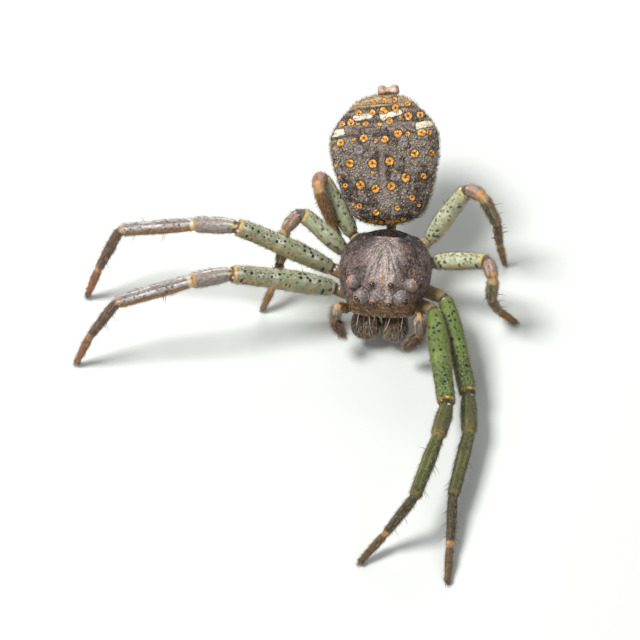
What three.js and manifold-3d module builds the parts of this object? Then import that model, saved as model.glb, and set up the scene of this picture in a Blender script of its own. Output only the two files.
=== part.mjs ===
// A still, life-size crab spider (family Thomisidae) standing on a flat floor, front legs spread,
// abdomen raised. Millimetres, +Z up, the head faces -Y, the spider's left is +X.

import * as THREE from "three";
import { mergeVertices } from "three/addons/utils/BufferGeometryUtils.js";
import Module from "manifold-3d";

const wasm = await Module();
wasm.setup();

// Overall stance
const RIM_HEIGHT = 2.7;
const HEAD_SHIFT = -0.07;
const HEAD_PITCH = 12;
const HEAD_ROLL = -2;
const ABDOMEN_PITCH = 36;
const ABDOMEN_YAW = 10;
const ABDOMEN_ROLL = -6;

// Clearances between neighbouring closed bodies
const GAP = 0.16;
const EYE_GAP = 0.04;
const MEMBRANE_GAP = 0.12;

// Leg tips: how much of each ball-shaped tip is cut off flat, level with the floor
const SOLE_DEPTH = 0.035;
const FLOOR_CUT = 2;

// Facets
const LEG_SIDES = 10;
const FOOT_SIDES = 8;
const CAP_STEPS = 2;
const LOFT_CAP_STEPS = 4;
const SMALL_SIDES = 10;
const MOUND_SIDES = 12;

// How far a limb's end bulges, as a share of its radius
const CAP_BULGE = 0.5;

// Colours and finish taken from life
const FINISH = {
  carapace: { color: 0x54423d, roughness: 0.55 },
  abdomen: { color: 0x5a4536, roughness: 0.7 },
  legGreen: { color: 0x8f9a6b, roughness: 0.5 },
  legLilac: { color: 0x857a6c, roughness: 0.5 },
  legRust: { color: 0x8a5a38, roughness: 0.55 },
  coxa: { color: 0x9c8f6a, roughness: 0.55 },
  under: { color: 0x7d6a4c, roughness: 0.6 },
  jaw: { color: 0x4a3024, roughness: 0.4 },
  palp: { color: 0x6a4f3c, roughness: 0.55 },
  eye: { color: 0x0b0a0a, roughness: 0.08 },
  spinneret: { color: 0xa8845c, roughness: 0.6 },
};

// Leg pairs: segment lengths (femur, patella, tibia, metatarsus, tarsus) and radii
const PAIRS = {
  1: {
    lengths: [4.6, 1.65, 3.2, 2.0, 1.5],
    femur: [0.35, 0.47, 0.4],
    patella: [0.3, 0.37, 0.35],
    tibia: [0.27, 0.32, 0.28],
    metatarsus: [0.24, 0.25, 0.23],
    tarsus: [0.22, 0.23, 0.16],
  },
  2: {
    lengths: [4.5, 1.75, 3.15, 2.15, 1.5],
    femur: [0.33, 0.44, 0.39],
    patella: [0.3, 0.36, 0.35],
    tibia: [0.27, 0.31, 0.28],
    metatarsus: [0.24, 0.25, 0.23],
    tarsus: [0.22, 0.23, 0.16],
  },
  3: {
    lengths: [2.55, 0.95, 1.5, 1.25, 1.0],
    femur: [0.31, 0.4, 0.34],
    patella: [0.27, 0.31, 0.28],
    tibia: [0.25, 0.28, 0.25],
    metatarsus: [0.23, 0.24, 0.22],
    tarsus: [0.21, 0.22, 0.15],
  },
  4: {
    lengths: [2.9, 1.0, 2.2, 1.45, 1.15],
    femur: [0.31, 0.41, 0.34],
    patella: [0.27, 0.31, 0.28],
    tibia: [0.25, 0.28, 0.25],
    metatarsus: [0.23, 0.24, 0.22],
    tarsus: [0.21, 0.22, 0.15],
  },
};

// Pose of each leg. base: start of the femur. heading: degrees from straight ahead (-Y) out to the
// leg's own side, one for each segment. lift: degrees above level for all but the tarsus, which
// goes down to the floor. root: where the coxa leaves the sternum, on the carapace's own frame.
const LEGS = {
  r1: {
    pair: 1,
    side: -1,
    root: [0.95, -1.08, -0.86],
    base: [-2.08, -0.9, 2.08],
    heading: [77, 66, 76, 57, 54],
    lift: [21, 6, -16, -51],
  },
  r2: {
    pair: 2,
    side: -1,
    root: [0.95, -0.36, -0.86],
    base: [-2.28, 0.02, 2.18],
    heading: [92, 95, 88, 49, 53],
    lift: [28, -10, -12, -58],
  },
  r3: {
    pair: 3,
    side: -1,
    root: [0.95, 0.36, -0.86],
    base: [-1.86, 0.93, 2.22],
    heading: [107, 49, 10, 22, 42],
    lift: [39, -37, -61, -50],
  },
  r4: {
    pair: 4,
    side: -1,
    root: [0.85, 1.06, -0.86],
    base: [-1.62, 1.85, 2.18],
    heading: [131, 1, -63, -112, -106],
    lift: [48, 20, -69, -78],
  },
  l1: {
    pair: 1,
    side: 1,
    root: [0.95, -1.08, -0.86],
    base: [2.08, -1.78, 2.27],
    heading: [11.5, -8, -12, -50, -43],
    lift: [-3, 4, 2, -46],
  },
  l2: {
    pair: 2,
    side: 1,
    root: [0.95, -0.36, -0.86],
    base: [2.44, -0.83, 1.95],
    heading: [17.5, 6, -7, 2, 1],
    lift: [-10, -3, -2, -14],
  },
  l3: {
    pair: 3,
    side: 1,
    root: [0.95, 0.36, -0.86],
    base: [1.82, 0.66, 2.35],
    heading: [77, 16, -155, 141, 85],
    lift: [24, 1, -86, -68],
  },
  l4: {
    pair: 4,
    side: 1,
    root: [0.85, 1.06, -0.86],
    base: [1.53, 1.91, 2.15],
    heading: [127, 46, 119, 95, 68],
    lift: [51, 21, -72, -84],
  },
};
const COXA = [0.25, 0.33, 0.27];
const FEMUR_BOW = 0.025;
const SEGMENT_STEP = 0.75;

// Carapace: front and rear end, then sizes at even steps from front to rear
const CARAPACE = {
  start: -2.28,
  end: 1.62,
  frontCap: 0.22,
  rearCap: 0.5,
  step: 0.17,
  sides: 36,
  halfWidth: [1.3, 1.42, 1.56, 1.74, 1.86, 1.9, 1.89, 1.8, 1.6, 1.3, 0.95],
  top: [0.3, 0.74, 1.04, 1.17, 1.23, 1.24, 1.19, 1.08, 0.88, 0.58, 0.2],
  bottom: [0.38, 0.38, 0.36, 0.36, 0.36, 0.36, 0.36, 0.36, 0.34, 0.3, 0.25],
  centre: [-0.06, 0, 0, 0, 0, 0, 0, 0, 0, 0, 0],
  sidePower: 0.9,
  topPower: 0.85,
  bottomPower: 0.6,
};

// Eyes, on the carapace's frame: place, radii of the lens and of the swelling, and how deep
// the swelling's middle lies behind that place
const EYES = {
  ame: { at: [0.34, -2.06, 0.63], lens: 0.095, mound: 0.19, sink: 0.13 },
  pme: { at: [0.38, -1.42, 1.14], lens: 0.1, mound: 0.2, sink: 0.13 },
  ale: { at: [0.93, -1.83, 0.64], lens: 0.15, mound: 0.34, sink: 0.2 },
  ple: { at: [1.29, -1.23, 1.04], lens: 0.13, mound: 0.29, sink: 0.12 },
};
// Share of a lens's radius that its middle lies below the swelling's surface
const EYE_DEPTH = 0.35;
const EYE_AIM = {
  ame: [0.1, -1, 0.35],
  pme: [0.1, -0.6, 1],
  ale: [0.62, -0.75, 0.1],
  ple: [0.85, 0.5, 0.2],
};

// Under parts, on the carapace's frame
const STERNUM = {
  start: -0.68,
  end: 1.36,
  frontCap: 0.3,
  rearCap: 0.5,
  step: 0.3,
  sides: 18,
  halfWidth: [0.55, 0.7, 0.72, 0.62, 0.42],
  top: [0.28, 0.28, 0.28, 0.28, 0.28],
  bottom: [0.24, 0.3, 0.32, 0.3, 0.24],
  centre: [-0.88, -0.88, -0.88, -0.88, -0.88],
  sidePower: 0.9,
  topPower: 0.7,
  bottomPower: 0.9,
};
const LOBE_TAPER = [0.8, 1, 0.7];
const LABIUM = { at: [0, -0.98, -0.95], length: 0.6, radius: 0.2, lift: -74 };
const MAXILLA = { at: [0.34, -0.96, -0.92], length: 0.8, radius: 0.22, lift: -74 };
const JAW = {
  at: [0.62, -1.86, -0.5],
  shift: -0.1,
  length: 1.5,
  lean: 19,
  depth: 0.86,
  radii: [0.5, 0.58, 0.58, 0.5],
  blunt: 0.4,
  sides: 16,
  rings: 12,
};
const FANG = { length: 0.42, radius: 0.1, sides: 8, root: 0.16, aim: [-0.6, 0.3, -0.7] };

// Palps: joints from the mouth to the tip, in the floor's frame, and radii
const PALPS = {
  r: [[-1.46, -1.72, 1.8], [-1.8, -2.08, 2.54], [-1.97, -2.4, 1.94], [-1.48, -2.74, 1.3]],
  l: [[1.42, -1.98, 1.8], [1.5, -2.44, 2.74], [1.6, -2.8, 1.92], [1.0, -2.98, 1.12]],
};
const PALP = { base: [0.2, 0.24, 0.23], middle: [0.22, 0.28, 0.25], tip: [0.22, 0.27, 0.16] };

// Pedicel, the narrow waist
const PEDICEL = { from: [0, 1.25, -0.56], length: 0.68, radius: 0.22, lift: 1 };

// Abdomen, on its own frame: y from the front end, z from the level of its widest outline
const ABDOMEN = {
  start: 0,
  end: 5.42,
  frontCap: 0.4,
  rearCap: 0.4,
  step: 0.15,
  sides: 32,
  halfWidth: [0.9, 1.5, 1.76, 1.94, 2.07, 2.19, 2.25, 2.18, 1.86, 1.38, 0.95],
  top: [0.36, 0.52, 0.6, 0.63, 0.65, 0.67, 0.68, 0.64, 0.58, 0.5, 0.4],
  bottom: [0.7, 1.1, 1.32, 1.45, 1.5, 1.5, 1.46, 1.34, 1.08, 0.76, 0.5],
  centre: [0, 0, 0, 0, 0, 0, 0, -0.12, -0.42, -0.82, -1.2],
  sidePower: 0.8,
  topPower: 0.62,
  bottomPower: 0.9,
};
const ABDOMEN_AT = [-0.12, 1.86, 2.98];
const FOLDS = { from: 3.7, to: 5.38, count: 4, depth: 0.07 };
const SPINNERETS = {
  at: [0.23, 5.46, -1.2],
  base: [0.28, 0.32, 0.26],
  baseLength: 0.32,
  spread: 0.23,
  rise: 0.15,
  sink: 0,
  length: 0.4,
  lobe: [0.2, 0.21, 0.15],
  splay: [0.12, 0.1],
};

// An axis this close to the vertical takes +Y as its upper side
const STEEP = 0.98;

const rad = THREE.MathUtils.degToRad;
const vec = (values) => new THREE.Vector3(...values);

// A smooth curve through values at even steps over 0..1
function curve(values) {
  const places = values.map((_, i) => i / (values.length - 1));
  const spline = new THREE.CubicInterpolant(places, values, 1);
  return (t) => spline.evaluate(THREE.MathUtils.clamp(t, 0, 1))[0];
}

// Positions only, with the seam closed and the empty triangles at the poles dropped
function bare(geometry) {
  geometry.deleteAttribute("normal");
  geometry.deleteAttribute("uv");
  const merged = mergeVertices(geometry, 1e-4);
  const corners = Array.from(merged.index.array);
  const kept = [];
  for (let i = 0; i < corners.length; i += 3) {
    const [a, b, c] = corners.slice(i, i + 3);
    if (a !== b && b !== c && c !== a) kept.push(a, b, c);
  }
  merged.setIndex(kept);
  return merged;
}

function toSolid(geometry) {
  const mesh = new wasm.Mesh({
    numProp: 3,
    vertProperties: new Float32Array(geometry.attributes.position.array),
    triVerts: new Uint32Array(geometry.index.array),
  });
  return new wasm.Manifold(mesh);
}

function toGeometry(solid) {
  const mesh = solid.getMesh();
  const geometry = new THREE.BufferGeometry();
  geometry.setAttribute("position", new THREE.BufferAttribute(mesh.vertProperties, 3));
  geometry.setIndex(new THREE.BufferAttribute(mesh.triVerts, 1));
  return geometry;
}

const weld = (geometries) => toGeometry(geometries.map(toSolid).reduce((a, b) => a.add(b)));

const ball = (radius, sides) => bare(new THREE.SphereGeometry(radius, sides, sides - 4));

const cut = (geometry, tools) =>
  toGeometry(tools.map(toSolid).reduce((body, tool) => body.subtract(tool), toSolid(geometry)));

// Turns a lathe whose axis is +Y so that it starts at `from` and runs along `direction`
function along(geometry, from, direction) {
  const axis = direction.clone().normalize();
  const up = new THREE.Vector3(0, 0, 1);
  if (Math.abs(axis.z) > STEEP) up.set(0, 1, 0);
  const across = new THREE.Vector3().crossVectors(axis, up).normalize();
  const back = new THREE.Vector3().crossVectors(across, axis);
  const frame = new THREE.Matrix4().makeBasis(across, axis, back).setPosition(from);
  return geometry.applyMatrix4(frame);
}

// A limb segment on +Y with bulging ends: radii at its start, its belly and its end
function segment(length, radii, sides, endBulge = CAP_BULGE) {
  const [first, belly, last] = radii;
  const shape = curve([first, belly, (belly + last) / 2, last]);
  const [startCap, endCap] = [first * CAP_BULGE, last * endBulge];
  const points = [];
  const quarter = (i) => (i / CAP_STEPS) * (Math.PI / 2);
  for (let i = 0; i <= CAP_STEPS; i += 1) {
    const away = startCap * (1 - Math.cos(quarter(i)));
    points.push(new THREE.Vector2(first * Math.sin(quarter(i)), away));
  }
  const steps = Math.max(2, Math.round(length / SEGMENT_STEP));
  for (let i = 1; i < steps; i += 1) {
    const t = i / steps;
    points.push(new THREE.Vector2(shape(t), startCap + t * (length - startCap - endCap)));
  }
  for (let i = CAP_STEPS; i >= 0; i -= 1) {
    const away = endCap * (1 - Math.cos(quarter(i)));
    points.push(new THREE.Vector2(last * Math.sin(quarter(i)), length - away));
  }
  points[0].x = 0;
  points[points.length - 1].x = 0;
  return bare(new THREE.LatheGeometry(points, sides));
}

// Bows a segment on +Y towards its +Z
function bow(geometry, length, rise) {
  const place = geometry.attributes.position;
  for (let i = 0; i < place.count; i += 1) {
    const t = place.getY(i) / length;
    place.setZ(i, place.getZ(i) + 4 * rise * length * t * (1 - t));
  }
  return geometry;
}

// How far a bulging end keeps from its joint, so that two ends that meet at a bend keep the gap
function setback(radius, bend, gap) {
  const [across, out] = [Math.sin(bend / 2), Math.cos(bend / 2)];
  const reach = radius * Math.hypot(CAP_BULGE * out, across);
  return (gap / 2 + reach) / out - CAP_BULGE * radius;
}

// A segment between two joints, drawn back from each by the bend there
function link(from, to, radii, bends, gap, sides, rise = 0) {
  const axis = new THREE.Vector3().subVectors(to, from);
  const whole = axis.length();
  axis.normalize();
  const front = setback(radii[0], bends[0], gap);
  const rear = bends[1] === null ? 0 : setback(radii[2], bends[1], gap);
  const length = whole - front - rear;
  const body = bow(segment(length, radii, sides), length, rise);
  return along(body, from.clone().addScaledVector(axis, front), axis);
}

// A closed body of oval sections along +Y, with rounded ends
function loft(spec) {
  const { start, end, frontCap, rearCap, step, sides } = spec;
  const stations = [];
  const quarter = (i) => 1 - Math.cos((i / LOFT_CAP_STEPS) * (Math.PI / 2));
  for (let i = 0; i <= LOFT_CAP_STEPS; i += 1) stations.push(start + frontCap * quarter(i));
  const middle = Math.round((end - start - frontCap - rearCap) / step);
  for (let i = 1; i < middle; i += 1) {
    stations.push(start + frontCap + (i / middle) * (end - start - frontCap - rearCap));
  }
  for (let i = LOFT_CAP_STEPS; i >= 0; i -= 1) stations.push(end - rearCap * quarter(i));
  const last = stations.length - 1;
  const profile = stations.map((y, i) => new THREE.Vector2(i === 0 || i === last ? 0 : 1, y));
  const geometry = new THREE.LatheGeometry(profile, sides);
  const sizes = {};
  for (const name of ["halfWidth", "top", "bottom", "centre"]) sizes[name] = curve(spec[name]);
  const roundEnd = (depth) => Math.sqrt(1 - (1 - THREE.MathUtils.clamp(depth, 0, 1)) ** 2);
  const bulge = (value, power) => Math.sign(value) * Math.abs(value) ** power;
  const place = geometry.attributes.position;
  for (let i = 0; i < place.count; i += 1) {
    const y = place.getY(i);
    const t = (y - start) / (end - start);
    const full = roundEnd((y - start) / frontCap) * roundEnd((end - y) / rearCap);
    const x = place.getX(i);
    const z = place.getZ(i);
    const height = z > 0 ? sizes.top(t) : sizes.bottom(t);
    const power = z > 0 ? spec.topPower : spec.bottomPower;
    const fold = z > 0 && spec.fold ? spec.fold(y) * z : 0;
    const side = full * sizes.halfWidth(t) * bulge(x, spec.sidePower);
    place.setXYZ(i, side, y, sizes.centre(t) + full * (height - fold) * bulge(z, power));
  }
  return bare(geometry);
}

const headFrame = new THREE.Matrix4()
  .makeTranslation(HEAD_SHIFT, 0, RIM_HEIGHT)
  .multiply(new THREE.Matrix4().makeRotationX(rad(HEAD_PITCH)))
  .multiply(new THREE.Matrix4().makeRotationY(rad(HEAD_ROLL)));

const abdomenFrame = new THREE.Matrix4()
  .makeTranslation(...ABDOMEN_AT)
  .multiply(new THREE.Matrix4().makeRotationZ(rad(ABDOMEN_YAW)))
  .multiply(new THREE.Matrix4().makeRotationX(rad(ABDOMEN_PITCH)))
  .multiply(new THREE.Matrix4().makeRotationY(rad(ABDOMEN_ROLL)));

const group = new THREE.Group();
group.name = "crab_spider";
const spider = new THREE.Group();
spider.name = "spider";
group.add(spider);

function addNode(name, geometry, finish) {
  const material = new THREE.MeshStandardMaterial({ ...FINISH[finish], metalness: 0 });
  const mesh = new THREE.Mesh(geometry, material);
  mesh.name = name;
  spider.add(mesh);
}

// Legs

function directionOf(side, heading, lift) {
  const flat = Math.cos(lift);
  return new THREE.Vector3(
    side * Math.sin(heading) * flat,
    -Math.cos(heading) * flat,
    Math.sin(lift),
  );
}

function jointsOf(leg) {
  const { lengths, tarsus } = PAIRS[leg.pair];
  const joints = [vec(leg.root).multiply(vec([leg.side, 1, 1])).applyMatrix4(headFrame)];
  joints.push(vec(leg.base));
  lengths.forEach((length, i) => {
    const from = joints[joints.length - 1];
    const drop = (tarsus[2] - SOLE_DEPTH - from.z) / length;
    const lift = i < leg.lift.length ? rad(leg.lift[i]) : Math.asin(drop);
    const step = directionOf(leg.side, rad(leg.heading[i]), lift);
    joints.push(from.clone().addScaledVector(step, length));
  });
  return joints;
}

const bendAt = (joints, i) => {
  const before = new THREE.Vector3().subVectors(joints[i], joints[i - 1]);
  const after = new THREE.Vector3().subVectors(joints[i + 1], joints[i]);
  return before.angleTo(after);
};

const floorBlock = bare(new THREE.BoxGeometry(60, 60, FLOOR_CUT).translate(0, 0, -FLOOR_CUT / 2));

for (const [name, leg] of Object.entries(LEGS)) {
  const joints = jointsOf(leg);
  const bends = joints.map((_, i) => (i > 0 && i < joints.length - 1 ? bendAt(joints, i) : 0));
  const sizes = PAIRS[leg.pair];
  const piece = (i, radii, sides, rise) =>
    link(joints[i], joints[i + 1], radii, [bends[i], bends[i + 1]], GAP, sides, rise);
  addNode(`leg_${name}_coxa`, piece(0, COXA, LEG_SIDES), "coxa");
  addNode(`leg_${name}_femur`, piece(1, sizes.femur, LEG_SIDES, FEMUR_BOW), "legGreen");
  addNode(`leg_${name}_patella`, piece(2, sizes.patella, LEG_SIDES), "legLilac");
  addNode(`leg_${name}_tibia`, piece(3, sizes.tibia, LEG_SIDES), "legLilac");
  const ankle = sizes.tarsus[0];
  const metatarsus = link(
    joints[4],
    joints[5],
    sizes.metatarsus,
    [bends[4], 0],
    GAP,
    FOOT_SIDES,
  );
  const toe = new THREE.Vector3().subVectors(joints[6], joints[5]).normalize();
  const overlap = ankle + GAP;
  const tarsusLength = overlap + sizes.lengths[4] + sizes.tarsus[2];
  const tarsus = along(
    segment(tarsusLength, sizes.tarsus, FOOT_SIDES, 1),
    joints[5].clone().addScaledVector(toe, -overlap),
    toe,
  );
  addNode(`leg_${name}_foot`, cut(weld([metatarsus, tarsus]), [floorBlock]), "legRust");
}

// Carapace with the eye swellings, and the eyes in their sockets

const eyeNodes = [];
const mounds = [];
const sockets = [];
for (const [name, eye] of Object.entries(EYES)) {
  for (const [sideName, side] of [["r", -1], ["l", 1]]) {
    const mirror = vec([side, 1, 1]);
    const at = vec(eye.at).multiply(mirror);
    const aim = vec(EYE_AIM[name]).multiply(mirror).normalize();
    const centre = at.clone().addScaledVector(aim, -eye.sink);
    mounds.push(ball(eye.mound, MOUND_SIDES).translate(...centre));
    const seat = centre.clone().addScaledVector(aim, eye.mound - eye.lens * EYE_DEPTH);
    sockets.push(ball(eye.lens + EYE_GAP, SMALL_SIDES).translate(...seat));
    eyeNodes.push([`eye_${name}_${sideName}`, ball(eye.lens, SMALL_SIDES).translate(...seat)]);
  }
}
const carapace = cut(weld([loft(CARAPACE), ...mounds]), sockets);
addNode("carapace", carapace.applyMatrix4(headFrame), "carapace");
for (const [name, lens] of eyeNodes) addNode(name, lens.applyMatrix4(headFrame), "eye");

// Under side

addNode("sternum", loft(STERNUM).applyMatrix4(headFrame), "under");
const lobe = (spec, side) => {
  const radii = LOBE_TAPER.map((share) => spec.radius * share);
  const body = segment(spec.length, radii, SMALL_SIDES);
  return along(body, vec(spec.at).multiply(vec([side, 1, 1])), directionOf(1, 0, rad(spec.lift)));
};
const mouth = weld([lobe(MAXILLA, -1), lobe(LABIUM, 1), lobe(MAXILLA, 1)]);
addNode("mouthparts", mouth.applyMatrix4(headFrame), "under");

for (const [sideName, side] of [["r", -1], ["l", 1]]) {
  const lean = rad(JAW.lean);
  const down = new THREE.Vector3(0, -Math.sin(lean), -Math.cos(lean));
  const from = vec(JAW.at).multiply(vec([side, 1, 1]));
  from.x += JAW.shift;
  const [rim, wide, low, tip] = JAW.radii;
  const profile = curve([rim, wide, wide, low, tip]);
  const points = [];
  for (let i = 0; i <= JAW.rings; i += 1) {
    const t = (1 - Math.cos((i / JAW.rings) * Math.PI)) / 2;
    const close = i % JAW.rings === 0 ? 0 : Math.sin(t * Math.PI) ** JAW.blunt;
    points.push(new THREE.Vector2(profile(t) * close, t * JAW.length));
  }
  const body = bare(new THREE.LatheGeometry(points, JAW.sides)).scale(1, 1, JAW.depth);
  const jaw = along(body, from, down);
  const hinge = from.clone().addScaledVector(down, JAW.length - FANG.root);
  const fang = along(
    segment(FANG.length, [FANG.radius, FANG.radius, FANG.radius / 2], FANG.sides),
    hinge,
    vec(FANG.aim).multiply(vec([side, 1, 1])),
  );
  addNode(`chelicera_${sideName}`, weld([jaw, fang]).applyMatrix4(headFrame), "jaw");
}

for (const [sideName, places] of Object.entries(PALPS)) {
  const joints = places.map(vec);
  const bends = [0, bendAt(joints, 1), bendAt(joints, 2), 0];
  const base = link(joints[0], joints[1], PALP.base, [0, bends[1]], MEMBRANE_GAP, SMALL_SIDES);
  const middle = link(joints[1], joints[2], PALP.middle, [bends[1], 0], MEMBRANE_GAP, SMALL_SIDES);
  const tip = link(joints[2], joints[3], PALP.tip, [0, null], -PALP.tip[0], SMALL_SIDES);
  addNode(`palp_${sideName}_base`, base, "palp");
  addNode(`palp_${sideName}_end`, weld([middle, tip]), "palp");
}

// Waist and abdomen

const waistRadii = [PEDICEL.radius, PEDICEL.radius, PEDICEL.radius];
const waist = segment(PEDICEL.length, waistRadii, SMALL_SIDES);
const waistAim = new THREE.Vector3(0, Math.cos(rad(PEDICEL.lift)), Math.sin(rad(PEDICEL.lift)));
addNode("pedicel", along(waist, vec(PEDICEL.from), waistAim).applyMatrix4(headFrame), "under");

const foldAt = (y) => {
  if (y < FOLDS.from || y > FOLDS.to) return 0;
  const t = (y - FOLDS.from) / (FOLDS.to - FOLDS.from);
  return FOLDS.depth * 0.5 * (1 - Math.cos(t * FOLDS.count * 2 * Math.PI));
};
addNode("abdomen", loft({ ...ABDOMEN, fold: foldAt }).applyMatrix4(abdomenFrame), "abdomen");

const rear = vec(SPINNERETS.at);
const base = segment(SPINNERETS.baseLength, SPINNERETS.base, MOUND_SIDES);
const lobes = [along(base, rear, vec([0, 1, 0]))];
for (const side of [-1, 1]) {
  for (const level of [-1, 1]) {
    const shift = vec([side * SPINNERETS.spread, SPINNERETS.sink, level * SPINNERETS.rise]);
    const [out, down] = SPINNERETS.splay;
    const aim = new THREE.Vector3(side * out, 1, (level - 1) * down);
    const spinneret = segment(SPINNERETS.length, SPINNERETS.lobe, SMALL_SIDES);
    lobes.push(along(spinneret, shift.add(rear), aim));
  }
}
addNode("spinnerets", weld(lobes).applyMatrix4(abdomenFrame), "spinneret");

// The bottom centre of the whole is the origin
group.updateMatrixWorld(true);
const box = new THREE.Box3().setFromObject(group, true);
const centre = box.getCenter(new THREE.Vector3());
spider.position.set(-centre.x, -centre.y, -box.min.z);

export default group;
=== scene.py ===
"""A still, life-size crab spider: skins, eyes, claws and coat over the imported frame."""

import logging
import math
from dataclasses import dataclass, field
from enum import Enum
from typing import Callable, Sequence

import bpy
import numpy as np
from mathutils import Matrix, Vector


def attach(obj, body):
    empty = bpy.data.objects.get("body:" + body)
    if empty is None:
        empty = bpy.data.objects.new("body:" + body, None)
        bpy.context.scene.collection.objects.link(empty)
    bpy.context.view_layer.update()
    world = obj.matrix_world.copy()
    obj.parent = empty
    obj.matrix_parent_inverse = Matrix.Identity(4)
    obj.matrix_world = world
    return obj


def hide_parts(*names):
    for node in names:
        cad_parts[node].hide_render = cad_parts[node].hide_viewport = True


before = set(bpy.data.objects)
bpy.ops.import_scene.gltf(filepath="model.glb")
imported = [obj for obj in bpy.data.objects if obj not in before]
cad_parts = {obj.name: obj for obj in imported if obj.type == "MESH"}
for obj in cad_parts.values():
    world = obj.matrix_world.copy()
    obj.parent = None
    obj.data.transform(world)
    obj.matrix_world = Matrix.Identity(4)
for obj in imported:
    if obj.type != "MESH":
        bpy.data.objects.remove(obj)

LOG = logging.getLogger("crab_spider")
MM = 0.001
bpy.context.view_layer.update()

# Where the middle of the carapace's rim stands on the floor, in the frame's millimetres
SHIFT = (3.4979, 3.0873)


# Numbers and curves

def curve(values: Sequence[float]) -> Callable[[np.ndarray], np.ndarray]:
    """A smooth curve through values at even steps.

    Args:
        values: Heights of the curve, from its start to its end.

    Returns:
        A function of a place between 0 and 1.
    """
    heights = np.asarray(values, float)
    places = np.linspace(0.0, 1.0, len(heights))
    slopes = np.gradient(heights, places)

    def at(t: np.ndarray) -> np.ndarray:
        """The curve's height at t."""
        t = np.clip(t, 0.0, 1.0)
        i = np.clip(np.searchsorted(places, t) - 1, 0, len(heights) - 2)
        step = places[i + 1] - places[i]
        s = (t - places[i]) / step
        first = (2 * s**3 - 3 * s**2 + 1) * heights[i] + (s**3 - 2 * s**2 + s) * step * slopes[i]
        second = (3 * s**2 - 2 * s**3) * heights[i + 1] + (s**3 - s**2) * step * slopes[i + 1]
        return first + second

    return at


def round_end(depth: np.ndarray) -> np.ndarray:
    """Share of the full section that a rounded end has at a depth of 0 to 1."""
    return np.sqrt(1.0 - (1.0 - np.clip(depth, 0.0, 1.0)) ** 2)


def bulge(value: np.ndarray, power: float) -> np.ndarray:
    """A signed power, which squares off or pinches a section."""
    return np.sign(value) * np.abs(value) ** power


def unit(vectors: np.ndarray) -> np.ndarray:
    """Vectors of length one."""
    return vectors / np.maximum(np.linalg.norm(vectors, axis=-1, keepdims=True), 1e-9)


def turned(matrix: Matrix, points: np.ndarray) -> np.ndarray:
    """Points moved by a matrix."""
    m = np.array(matrix)
    return points @ m[:3, :3].T + m[:3, 3]


# Shader building

class Value:
    """A number socket; arithmetic on it adds Math nodes."""

    def __init__(self, graph: "Graph", socket: bpy.types.NodeSocket) -> None:
        """Wraps a socket of a graph."""
        self.graph = graph
        self.socket = socket

    def _math(self, operation: str, *inputs: "Value | float") -> "Value":
        """Adds one Math node and gives its result."""
        node = self.graph.node("ShaderNodeMath", {"operation": operation}, list(inputs))
        return Value(self.graph, node.outputs[0])

    def __add__(self, other: "Value | float") -> "Value":
        """Sum."""
        return self._math("ADD", self, other)

    __radd__ = __add__

    def __mul__(self, other: "Value | float") -> "Value":
        """Product."""
        return self._math("MULTIPLY", self, other)

    __rmul__ = __mul__

    def __sub__(self, other: "Value | float") -> "Value":
        """Difference."""
        return self._math("SUBTRACT", self, other)

    def __rsub__(self, other: float) -> "Value":
        """Reflected difference."""
        return self._math("SUBTRACT", other, self)

    def __abs__(self) -> "Value":
        """Absolute value."""
        return self._math("ABSOLUTE", self)

    def power(self, exponent: float) -> "Value":
        """This value to a power."""
        return self._math("POWER", self, exponent)

    def sine(self) -> "Value":
        """Sine of this value."""
        return self._math("SINE", self)

    def most(self, other: "Value | float") -> "Value":
        """The larger of two values."""
        return self._math("MAXIMUM", self, other)

    def least(self, other: "Value | float") -> "Value":
        """The smaller of two values."""
        return self._math("MINIMUM", self, other)

    def rise(self, low: float, high: float) -> "Value":
        """A smooth step from 0 at low to 1 at high (or falling, where low is the larger)."""
        node = self.graph.node(
            "ShaderNodeMapRange",
            {"interpolation_type": "SMOOTHSTEP"},
            {"Value": self, "From Min": low, "From Max": high},
        )
        return Value(self.graph, node.outputs[0])

    def band(self, middle: float, half: float, soft: float) -> "Value":
        """1 within half of the middle, falling to 0 over soft."""
        return abs(self - middle).rise(half + soft, half)


Colour = tuple[float, float, float]


def shade(code: str) -> Colour:
    """A screen colour code as linear light."""
    parts = [int(code[i:i + 2], 16) / 255 for i in (0, 2, 4)]
    lit = [c / 12.92 if c <= 0.04045 else ((c + 0.055) / 1.055) ** 2.4 for c in parts]
    return (lit[0], lit[1], lit[2])


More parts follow.
